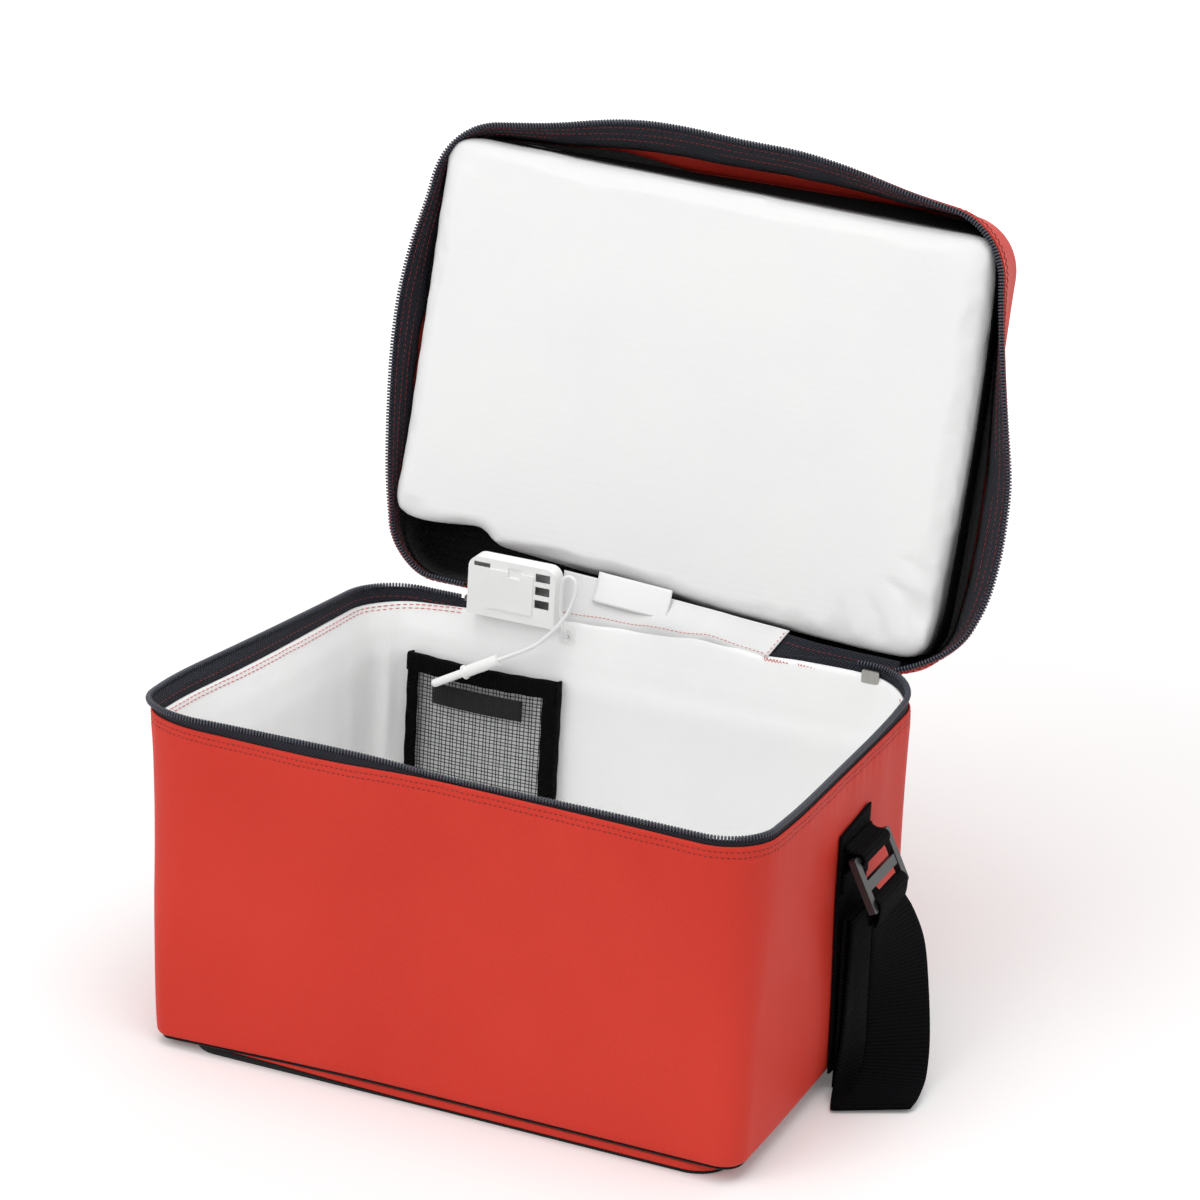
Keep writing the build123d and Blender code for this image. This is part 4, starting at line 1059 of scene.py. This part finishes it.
def make_pad():
    """The foam pad in its white cover: swollen from inside, folded at its corners and kept within the lid."""
    pad = skin("lid_pad_cover", pad_rows(0.8), LOOKS["pad"])
    remesh = pad.modifiers.new("remesh", "REMESH")
    remesh.mode = "VOXEL"
    remesh.voxel_size = 0.004
    apply_modifiers(pad)
    swell(pad, 1.0, 1.6)
    write_points(pad, pad_shape(read_points(pad)))
    subdivide(pad)
    points = read_points(pad)
    h = (points - HINGE) @ LID_H
    points = points + (np.clip(1.0 - h, 0, None) - np.clip(h - 41.8, 0, None))[:, None] * LID_H
    write_points(pad, inside_lid(points))
    for polygon in pad.data.polygons:
        polygon.use_smooth = True
    fit(pad, "lid", "white_fabric", "pad_cover", "pad_foam")


def read_points(piece):
    """A piece's points in millimetres."""
    points = np.empty(len(piece.data.vertices) * 3, np.float32)
    piece.data.vertices.foreach_get("co", points)
    return points.reshape(-1, 3).astype(float) / MM


def write_points(piece, points):
    piece.data.vertices.foreach_set("co", (points * MM).astype(np.float32).ravel())
    piece.data.update()


def apply_modifiers(piece):
    """Gives a piece the mesh that its modifiers make of it."""
    bpy.context.view_layer.update()
    graph = bpy.context.evaluated_depsgraph_get()
    mesh = bpy.data.meshes.new_from_object(piece.evaluated_get(graph), depsgraph=graph)
    piece.modifiers.clear()
    old = piece.data
    piece.data = mesh
    bpy.data.meshes.remove(old)


def subdivide(piece):
    modifier = piece.modifiers.new("subdivision", "SUBSURF")
    modifier.levels = modifier.render_levels = 1
    apply_modifiers(piece)


def swell(piece, pressure, limit):
    """Blows a closed cloth up from inside, moving no point further than limit."""
    before = read_points(piece)
    cloth = piece.modifiers.new("cloth", "CLOTH")
    for setting, value in (("use_pressure", True), ("uniform_pressure_force", pressure), ("quality", 5),
                           ("tension_stiffness", 25), ("compression_stiffness", 25), ("bending_stiffness", 0.6)):
        setattr(cloth.settings, setting, value)
    cloth.settings.effector_weights.gravity = 0
    cloth.collision_settings.use_collision = False
    frames = 20
    cloth.point_cache.frame_start, cloth.point_cache.frame_end = 1, frames
    scene = bpy.context.scene
    for number in range(1, frames + 1):
        scene.frame_set(number)
    apply_modifiers(piece)
    scene.frame_set(1)
    move = read_points(piece) - before
    far = np.linalg.norm(move, axis=1)
    move *= (np.minimum(far, limit) / np.maximum(far, 1e-9))[:, None]
    write_points(piece, before + move)


def make_pad_strip():
    """Black ribbed binding that joins the pad's top edge and right side to the lid, slanting back and out."""
    path = [(146.0, 15), (150.2, 30), (151.2, 60), (151.6, 110), (150.8, 150), (149.3, 186), (147.6, 207),
            (144.5, 217.5), (138, 221), (120, 221.6), (60, 223.4), (0, 225.2), (-70, 227.6), (-118, 229.2),
            (-134, 229.4), (-143, 227.6), (-147.2, 221), (-148.2, 200), (-148.6, 150)]
    line = spline(np.column_stack([np.array(path, float), np.zeros(len(path))]), 260)[:, :2]
    for _ in range(12):
        line[1:-1] = (line[:-2] + 2 * line[1:-1] + line[2:]) / 4
    out = sideways(line)
    if (out[130] * [0, 1]).sum() < 0:
        out = -out
    reach = np.interp(line[:, 0], [-149, -143, -100, 0, 100, 140, 148], [1.2, 2.0, 4.5, 6.0, 5.5, 2.2, 1.0])
    reach = np.where(line[:, 1] < 205, np.interp(line[:, 1], [15, 60, 150, 205], [0.8, 3.4, 1.6, 1.2]), reach)
    inner = lid_place(line[:, 0], line[:, 1], np.full(len(line), 7.5))
    far = line + out * reach[:, None]
    outer = lid_place(far[:, 0], far[:, 1], np.full(len(line), 18.0))
    inner, outer = inside_lid(inner, 0.6), inside_lid(outer, 0.6)
    strip = ribbon("pad_binding", inner, outer, 1.1, "binding", columns=6)
    fit(strip, "lid", "webbing", "pad_band")


make_lid()
make_lid_zip()
make_lid_lining()
make_pad()
make_pad_strip()


# ------------------------------------------------------------------ hinge cloth and label
def bar_tacks(places):
    """Short dense zigzags of thread: places holds (start, end) pairs."""
    lines = []
    for start, end in places:
        start, end = np.array(start, float), np.array(end, float)
        steps = np.linspace(0, 1, 16)
        path = start + (end - start) * steps[:, None]
        path[:, 2] += 0.75 * (-1.0) ** np.arange(16)
        lines.append((path, np.tile([0.0, -1.0, 0.0], (16, 1))))
    stitches("bar_tacks", lines, "orange_thread", "case", pitch=1.1, length=1.3, radius=0.2, lift=0.1)


def bent_sheet(name, lines, thickness, look):
    """A thin sheet over a grid of points, and the front face's points and normals."""
    normal = unit(np.cross(np.gradient(lines, axis=0), np.gradient(lines, axis=1)))
    if normal[3, 20][1] > 0:
        normal = -normal
    front, back = lines + normal * thickness / 2, lines - normal * thickness / 2
    made = skin(name, [np.vstack([f, b[::-1]]) for f, b in zip(front, back)], LOOKS[look])
    return made, front, normal


def make_hinge_cover():
    """White cloth over the hinge on the inside, with its hem, its seam and the tacks beside it."""
    seam_x = [-60, -51, -26, -1, 26, 35, 50, 65, 74]
    seam_z = [160.6, 161.3, 163.0, 164.8, 167.0, 168.4, 166.6, 163.9, 163.4]
    xs = np.linspace(-46, 66, 82)
    foot = np.interp(xs, seam_x, seam_z) + 0.35 * np.sin(xs / 4.6) - 1.3
    top = np.interp(xs, [-46, -24, 0, 40, 66], [186.4, 185.2, 183.2, 180.6, 178.0])
    profile = spline([(0, 111.3, 0.0), (0, 111.25, 0.10), (0, 111.7, 0.24), (0, 113.4, 0.42), (0, 115.6, 0.60),
                      (0, 118.0, 0.78), (0, 119.8, 0.92), (0, 120.6, 1.0)], 24)[:, 1:]
    lines = []
    for y, share in profile:
        side = math.sin(math.pi * share)
        wave = 0.7 * np.sin(xs / 11.0 + 0.6) + 0.45 * np.sin(xs / 5.3)
        x = xs + step(xs, 44, 66) * 9.0 * share - 1.5 * step(-xs, 24, 46) * share
        y = y - 0.9 * wave * side - 0.8 * side * step(xs, -46, 10) * (1 - step(xs, 20, 66))
        lines.append(np.column_stack([x, y, foot + (top - foot) * share + 0.5 * wave * side]))
    lines = np.array(lines)
    # the flap's look is white cloth with painted shade, darker than the lining
    cover, front, normal = bent_sheet("hinge_cover", lines, 0.5, "flap")
    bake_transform(cover)
    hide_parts("hinge_flap", "lid_hinge_flap")
    hem_rows = [(front[:, -2] + normal[:, -2] * 0.05, normal[:, -2])]
    hem = stitches("hinge_cover_stitches", hem_rows, "orange_thread", None, radius=0.2, pitch=2.4, length=1.5)
    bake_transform(hem)

    seam = np.column_stack([xs, front[2, :, 1] - 0.05, front[2, :, 2]])
    stitches("seam_stitches", [(seam, normal[2])], "orange_thread", "case", radius=0.17, pitch=2.2, length=1.7,
             lift=0.05)

    bar_tacks([((66, 110.9, 164.6), (79, 110.9, 164.4)), ((84, 110.9, 165.0), (97, 110.9, 163.8)),
               ((72, 110.9, 162.9), (80, 110.9, 163.2))])


def make_hinge_apron():
    """The lining's white cloth left of the hinge's cover."""
    xs = np.linspace(-94, -44, 30)
    rows = []
    for z, out in ((158.5, 0.0), (163, 0.05), (168, 0.0), (174, 0.1), (180, 0.0), (186.5, 0.1)):
        y = 111.18 + out * np.sin(xs / 6.0)
        rows.append(np.column_stack([xs, y, np.full(30, z)]))
    apron, _, _ = bent_sheet("hinge_apron", np.array(rows), 0.35, "white")
    fit(apron, "case", "white_fabric")


def make_hinge_tape():
    """The zip tape's end beside the cover, which runs from the case up into the lid."""
    xs, end = np.linspace(63, 134, 46), (0, 0.1160, 0.1735)
    profile = spline([(0, 112.7, 161.5), (0, 112.8, 164), (0, 113.7, 167), (0, 115.4, 170.0), (0, 117.6, 173.6),
                      (0, 119.2, 176.4)], 16)[:, 1:]
    lines = np.array([
        np.column_stack([xs, y + 0.25 * np.sin(xs / 7.0) + 1.6 * (1 - step(xs, 74, 84)) * step(z, 166, 174),
                         z + 0.3 * np.sin(xs / 9.0) - 0.035 * (xs - 60) * step(z, 164, 176)])
        for y, z in profile])
    tape, front, normal = bent_sheet("hinge_tape", lines, 0.6, "tape")
    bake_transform(tape)
    rows = stitches("hinge_tape_stitches", [(front[k], normal[k]) for k in (5, 11)], "maroon_thread", None, radius=0.22,
                    pitch=2.8, length=2.1)
    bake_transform(rows)


def make_hinge_back():
    """The black cloth behind the hinge, from the case's rear wall over into the lid's band."""
    xs = np.linspace(-36, 108, 60)
    profile = spline([(0, 113.8, 158.5), (0, 113.8, 160), (0, 113.9, 162), (0, 114.6, 164.6), (0, 116.0, 166.05),
                      (0, 118.0, 165.7), (0, 121.0, 164.8), (0, 124.0, 164.0)], 24)[:, 1:]
    lines = np.array([np.column_stack([xs, np.full(60, y), np.full(60, z)]) for y, z in profile])
    web, _, _ = bent_sheet("hinge_back", lines, 0.8, "black")
    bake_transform(web)
    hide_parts("hinge_web", "lid_hinge_web")


def make_label():
    """The plain white label sewn at the pad's lower edge, with its left end folded round."""
    xs = np.linspace(-29, 11.6, 30)
    rows = []
    for k, v in enumerate(np.linspace(9.0, 24.0, 12)):
        share = k / 11
        curl = 0.9 * np.exp(-((xs + 29) / 2.2) ** 2)
        sag = -0.5 * math.sin(math.pi * share) + 0.35 * (1 - share) * np.sin(xs / 9.0)
        h = 0.35 - 4.2 * (1 - share) + curl + sag * 0.6
        drop = -2.2 * (xs + 29) / 41
        front, back = (lid_place(xs + 0.6 * np.sin(share * 3), v + drop, h + half) for half in (-0.2, 0.2))
        rows.append(np.vstack([front, back[::-1]]))
    fit(skin("plain_label", rows, LOOKS["pad"]), "lid", "white_fabric", "blank_label")


# ------------------------------------------------------------------ net pocket
def make_pocket():
    """The net pocket on the inside of the rear wall: its binding, its knotted net and its closing tab."""
    x0, x1, z0, z1 = -122.0, -38.0, 28.0, 134.5
    borders = {"left": 6.2, "right": 8.4, "top": 9.5, "foot": 8.0}

    def sag(x, z):
        """How far the pocket hangs down between its corners, most at its open top."""
        share_x, share_z = (x - x0) / (x1 - x0), (z - z0) / (z1 - z0)
        return -1.6 * np.sin(np.pi * np.clip(share_x, 0, 1)) * step(share_z, 0.2, 1.0)

    def strip(start, end, wide, turn):
        """A length of binding from start to end; wide points across it, away from the opening."""
        start, end, wide = (np.array(a, float) for a in (start, end, wide))
        rows = []
        for t in np.linspace(0, 1, int(np.linalg.norm(end - start) / 1.6) + 2):
            loop = []
            for across, out in turn:
                point = start + (end - start) * t + wide * across
                drop = sag(point[0], point[2]) if wide[2] else 0.0
                loop.append((point[0], out - 0.35 * math.sin(t * 40), point[2] + drop))
            rows.append(loop)
        return rows

    front, back = 97.0, 103.3    # y of the binding's face and of the wall behind it
    for name, start, end, wide in (
            ("top", (x0, 0, z1 - borders["top"]), (x1, 0, z1 - borders["top"]), (0, 0, 1)),
            ("foot", (x0, 0, z0 + borders["foot"]), (x1, 0, z0 + borders["foot"]), (0, 0, -1)),
            ("left", (x0 + borders["left"], 0, z0 + 0.5), (x0 + borders["left"], 0, z1 - 0.8), (-1, 0, 0)),
            ("right", (x1 - borders["right"], 0, z0 + 0.5), (x1 - borders["right"], 0, z1 - 0.8), (1, 0, 0))):
        border = borders[name]
        profile = [(0.0, front + 1.4), (0.3, front + 0.2), (1.5, front), (border - 1.2, front),
                   (border - 0.2, front + 0.6), (border, front + 2.0), (border, back), (border - 1.4, back),
                   (border - 1.5, front + 2.2), (0.4, front + 1.6)]
        if name == "top":
            profile = [(a, min(y, front + 3.2)) for a, y in profile]
        rows = strip(start, end, wide, profile)
        if name in ("left", "right"):
            rows = [[(x, y + 0.35, z) for x, y, z in loop] for loop in rows]
        fit(skin("pocket_binding_" + name, rows, LOOKS["binding"]), "case", "pocket_binding", "pocket_binding")

    verts, faces = [], []
    radius, pitch = 0.24, 2.05

    def thread(points):
        """One of the net's threads, four-sided."""
        points = np.asarray(points, float)
        side = unit(np.cross(unit(np.gradient(points, axis=0)), [0, 1.0, 0]))
        start = len(verts)
        for p, s in zip(points, side):
            for a, b in ((1, 0), (0, 1), (-1, 0), (0, -1)):
                verts.append(p + s * radius * a + np.array([0, radius * 0.8 * b, 0]))
        faces.extend(tube_faces(start, len(points), 4))

    nx0, nx1, nz0, nz1 = x0 + 5, x1 - 5, z0 + 5, z1 - 4.5    # the net's edges, held in the binding

    def belly(x, z):
        """The net's y: it swells a little away from the wall."""
        return 98.6 - 1.3 * np.sin(np.pi * (x - nx0) / (nx1 - nx0)) * np.sin(np.pi * (z - nz0) / (nz1 - nz0)) * 0.6

    for x in np.arange(nx0, nx1 + 0.1, pitch):
        z = np.linspace(nz0, nz1, 50)
        bent = x + 0.35 * np.sin(z / 21 + x)
        thread(np.column_stack([bent, belly(x, z) + 0.12, z + sag(x, z) * step(z, 80, nz1)]))
    for z in np.arange(nz0, nz1 + 0.1, pitch):
        x = np.linspace(nx0, nx1, 44)
        thread(np.column_stack([x, belly(x, z) - 0.12, z + sag(x, z) * float(step(z, 40, nz1))
                                + 0.2 * np.sin(x / 13 + z)]))
    fit(from_arrays("pocket_net", verts, faces, LOOKS["net"]), "case", "pocket_mesh", "pocket_mesh")

    section = ((97.2, 1, 110.5), (96.9, 1, 111.3), (96.9, 1, 120.7), (97.2, 1, 121.5), (98.1, 0, 121.5),
               (98.1, 0, 110.5))
    rows = []
    for t in np.linspace(0, 1, 28):
        x = -107 + 50 * t
        droop = -1.5 * math.sin(math.pi * (x - x0) / (x1 - x0))
        wave = 0.12 * math.sin(t * 55)
        rows.append([(x, y + wave * bent, z + droop) for y, bent, z in section])
    fit(skin("pocket_tab", rows, LOOKS["black"]), "case", "pocket_binding", "pocket_closure")


# ------------------------------------------------------------------ straps
SIDE_START = {"right": SIDE_X_N + CORNER_N, "left": 2 * SIDE_X_N + 3 * CORNER_N + SIDE_Y_N}


def wall(side, y, z, lift=0.0):
    """A point on the outside of the case's right or left wall, stood off by lift."""
    name = "right" if side > 0 else "left"
    ring = case_ring(0, z, slack=0.55)[SIDE_START[name]:SIDE_START[name] + SIDE_Y_N]
    order = np.argsort(ring[:, 1])
    return np.array([np.interp(y, ring[order, 1], ring[order, 0]) + side * lift, y, z])


def make_webbing(side):
    """A side's webbing: the anchor on the wall, its loop, the wrap on the buckle's bar and the hanging strap."""
    name = "right" if side > 0 else "left"
    left, right = [], []
    for z in np.concatenate([np.linspace(9, 128, 56), [129.4, 130.6]]):
        slant = 4.0 * step(z, 112, 131)
        left.append(wall(side, -5.0, z, 1.2))
        right.append(wall(side, 35.0, z + slant, 1.2))
    piece = ribbon(f"anchor_webbing_{name}", left, right, 1.7, "webbing", columns=14)
    fit(piece, "case", "webbing", f"side_webbing_{name}")

    base = abs(wall(side, 15, 112)[0])
    path = [(base + 2.9, 101), (base + 2.9, 107), (base + 3.2, 111.5), (156.6, 114.9), (159.2, 116.9), (161.6, 117.4),
            (163.0, 119.0), (163.2, 121.2), (161.9, 123.0), (159.4, 123.3), (156.6, 123.4), (base + 3.6, 124.4),
            (base + 2.9, 126.0)]
    edge = [np.array([(side * x, y, z) for x, z in path]) for y in (-2.8, 32.8)]
    loop = ribbon(f"anchor_loop_{name}", edge[0], edge[1], 1.5, "webbing", count=60)
    fit(loop, "case", "webbing", f"buckle_loop_{name}")

    path = [(168.8, 89.0), (167.8, 92.6), (167.3, 97.1), (167.7, 101.2), (170.4, 103.0), (173.1, 101.2), (173.5, 97.1),
            (173.0, 92.6), (172.0, 89.0)]
    edge = [np.array([(side * x, y, z) for x, z in path]) for y in (-4.6, 34.6)]
    wrap = ribbon(f"bar_wrap_{name}", edge[0], edge[1], 1.3, "webbing", count=44)
    fit(wrap, f"buckle_{name}", "webbing", f"strap_wrap_{name}")

    if side > 0:
        front = [(170.4, -4.6, 92.0), (170.4, -4.2, 84.0), (170.4, -2.6, 70), (169.4, 1.6, 50), (170.8, 0.0, 27),
                 (171.0, -5.0, 15.5), (170.2, -14.0, 8.5), (167.4, -23.5, 4.4), (165.6, -25.4, 2.7),
                 (163.6, -23.8, 1.2), (160.8, -14.5, 4.0), (160.3, -5.5, 26), (160.4, -4.6, 60), (160.2, -4.6, 88),
                 (158.4, -4.6, 91.5), (156.6, -4.6, 88), (157.0, -4.6, 60), (157.6, -4.6, 30), (157.6, -4.6, 2.2)]
        rear = [(171.6, 35.6, 92.0), (177.2, 36.4, 84.0), (184.0, 36.4, 69), (189.0, 34.0, 46), (194.0, 27.0, 23),
                (197.0, 17.0, 9.0), (198.6, 4.5, 5.0), (198.8, -4.2, 3.8), (197.9, -6.6, 2.7), (195.4, -2.8, 1.2),
                (174.0, 25.0, 1.2), (160.8, 35.0, 17), (160.4, 35.2, 60), (160.2, 35.2, 88), (158.4, 35.2, 91.5),
                (156.6, 35.2, 88), (157.0, 35.2, 60), (157.6, 35.2, 30), (157.6, 35.2, 2.2)]
    else:
        front = [(-170.4, -4.8, 92.0), (-173.0, -4.8, 78), (-175.6, -4.8, 54), (-178.0, -4.6, 28), (-177.0, -4.6, 11),
                 (-172.5, -4.6, 3.2), (-166.0, -4.6, 2.4), (-160.6, -4.6, 6), (-159.2, -4.6, 16), (-159.0, -4.6, 41)]
        rear = [(-170.4, 34.6, 92.0), (-172.4, 34.8, 78), (-174.4, 35.0, 54), (-176.5, 35.2, 28), (-175.0, 35.2, 11),
                (-170.5, 35.2, 3.2), (-164.6, 35.2, 2.4), (-160.2, 35.2, 6), (-159.1, 35.2, 16), (-159.0, 35.2, 41)]
    run = run_along(spline((np.array(front) + rear) / 2, 200))[-1]
    drop = ribbon(f"strap_hang_{name}", front, rear, 1.9, "webbing", columns=16, count=110)
    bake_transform(drop)
    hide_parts(f"strap_drop_{name}")


def make_strap_run():
    """The rest of the shoulder strap, on edge on the floor round the back of the case."""
    count, reach, turn = 240, 159.0, 45.0
    middle_x, middle_y = reach - turn, 124.0 - turn
    line = [(reach, 35.2 + (middle_y - 35.2) * t) for t in np.linspace(0, 1, 14)]
    line += [(middle_x + turn * math.cos(a), middle_y + turn * math.sin(a))
             for a in np.radians(np.linspace(0, 90, 14)[1:])]
    line = np.array(line)
    back = np.column_stack([np.linspace(middle_x, -middle_x, 40)[1:-1], np.full(38, 124.0)])
    line = np.vstack([line, back, line[::-1] * [-1, 1]])
    run = run_along(line)
    marks = np.linspace(0, run[-1], count)
    plan = pick(marks, run, line)
    share = marks / run[-1]
    lean = 1.6 * np.sin(share * math.pi) * np.sin(share * 17)
    out = sideways(plan)
    if (out[0] * [1, 0]).sum() < 0:
        out = -out
    low = np.column_stack([plan + out * (-0.3 * lean)[:, None], np.full(count, 1.6)])
    high = np.column_stack([plan + out * (0.6 * lean)[:, None], np.full(count, 41.0)])
    piece = ribbon("strap_behind", low, high, 1.9, "webbing", columns=14)
    fit(piece, "case", "webbing", "strap_run")


make_hinge_cover()
make_hinge_apron()
make_hinge_tape()
make_hinge_back()
make_label()
make_pocket()
make_webbing(1)
make_webbing(-1)
make_strap_run()


# ------------------------------------------------------------------ moulded and metal parts
for node, look, bevel, segments in (
        ("seal_housing", "housing", 0.5, 3), ("seal_latch", "latch", 0.25, 2),
        ("lead_grommet", "white_plastic", 0.3, 3), ("probe_body", "white_plastic", 0.3, 3),
        ("probe_tip", "white_plastic", 0.15, 3), ("display_holder", "white_plastic", 0.3, 3),
        ("display_back", "white_plastic", 0.3, 3), ("display_case", "white_plastic", 0.6, 4),
        ("battery_cover", "white_plastic", 0.2, 3), ("coin_cell", "nickel", 0.2, 3),
        ("circuit_board", "board", 0.1, 1), ("lcd_panel", "screen", 0.1, 1), ("lcd_window", "window", 0.15, 2),
        ("mode_button", "grey_plastic", 0.3, 3), ("reset_button", "grey_plastic", 0.3, 3),
        ("zip_slider", "slider", 0.35, 3), ("zip_pull", "slider", 0.25, 3), ("zip_stops", "dark_stop", 0.3, 3),
        ("buckle_right", "black_plastic", 0.5, 4), ("buckle_left", "black_plastic", 0.5, 4)):
    dress(node, look, bevel, segments)


# ------------------------------------------------------------------ floor and light
def make_stage():
    """A floor that the camera sees as white, four lamps and a world that is white behind and dim as light."""
    floor_look = Look("floor", 0.9, specular=0.0)
    floor_look.colour((0.92, 0.92, 0.92, 1))
    sight = floor_look.node("ShaderNodeLightPath")
    seen = floor_look.math("MAXIMUM", sight.outputs["Is Camera Ray"], sight.outputs["Is Transmission Ray"])
    seen = floor_look.math("MAXIMUM", seen, sight.outputs["Is Glossy Ray"])
    away = floor_look.node("ShaderNodeVectorMath", {0: floor_look.place()}, operation="LENGTH").outputs["Value"]
    far = floor_look.math("ADD", floor_look.ramp(away, 0.6, 2.6), 0.10)
    glow = floor_look.node("ShaderNodeEmission", {"Color": (1, 1, 1, 1),
                                                  "Strength": floor_look.math("MULTIPLY", seen, far)})
    both = floor_look.node("ShaderNodeAddShader", {0: floor_look.shader.outputs[0], 1: glow.outputs[0]})
    feed(floor_look.tree.nodes["Material Output"].inputs["Surface"], both.outputs[0])
    mesh = bpy.data.meshes.new("floor")
    mesh.from_pydata([(-6, -6, 0), (6, -6, 0), (6, 6, 0), (-6, 6, 0)], [], [(0, 1, 2, 3)])
    floor = link("floor", mesh, floor_look.material)
    for name, place, size, power in (("key", (-1.3, -2.4, 2.0), 2.4, 31.0), ("fill", (2.6, -1.2, 1.6), 2.4, 7.0),
                                     ("top", (0.0, -0.3, 3.0), 3.0, 44.0), ("back", (0.4, 2.6, 2.2), 2.2, 14.0)):
        data = bpy.data.lights.new(name, "AREA")
        data.shape = "DISK"
        data.size = size
        data.energy = power
        light = bpy.data.objects.new(name, data)
        bpy.context.scene.collection.objects.link(light)
        light.location = place
        light.rotation_euler = (Vector((0, 0, 0.15)) - Vector(place)).to_track_quat("-Z", "Y").to_euler()
    world = bpy.data.worlds.new("studio")
    bpy.context.scene.world = world
    world.use_nodes = True
    tree = world.node_tree
    tree.nodes.clear()
    path = add_node(tree, "ShaderNodeLightPath")
    seen = path.outputs["Is Camera Ray"]
    for ray in ("Is Transmission Ray", "Is Glossy Ray"):
        seen = add_node(tree, "ShaderNodeMath", {0: seen, 1: path.outputs[ray]}, operation="MAXIMUM").outputs[0]
    white, dim = (add_node(tree, "ShaderNodeBackground", {"Color": (1, 1, 1, 1), "Strength": strength}).outputs[0]
                  for strength in (1.0, 0.46))
    mix = add_node(tree, "ShaderNodeMixShader", {0: seen, 1: dim, 2: white})
    add_node(tree, "ShaderNodeOutputWorld", {0: mix.outputs[0]})
    bpy.context.scene.view_settings.view_transform = "Standard"


make_stage()
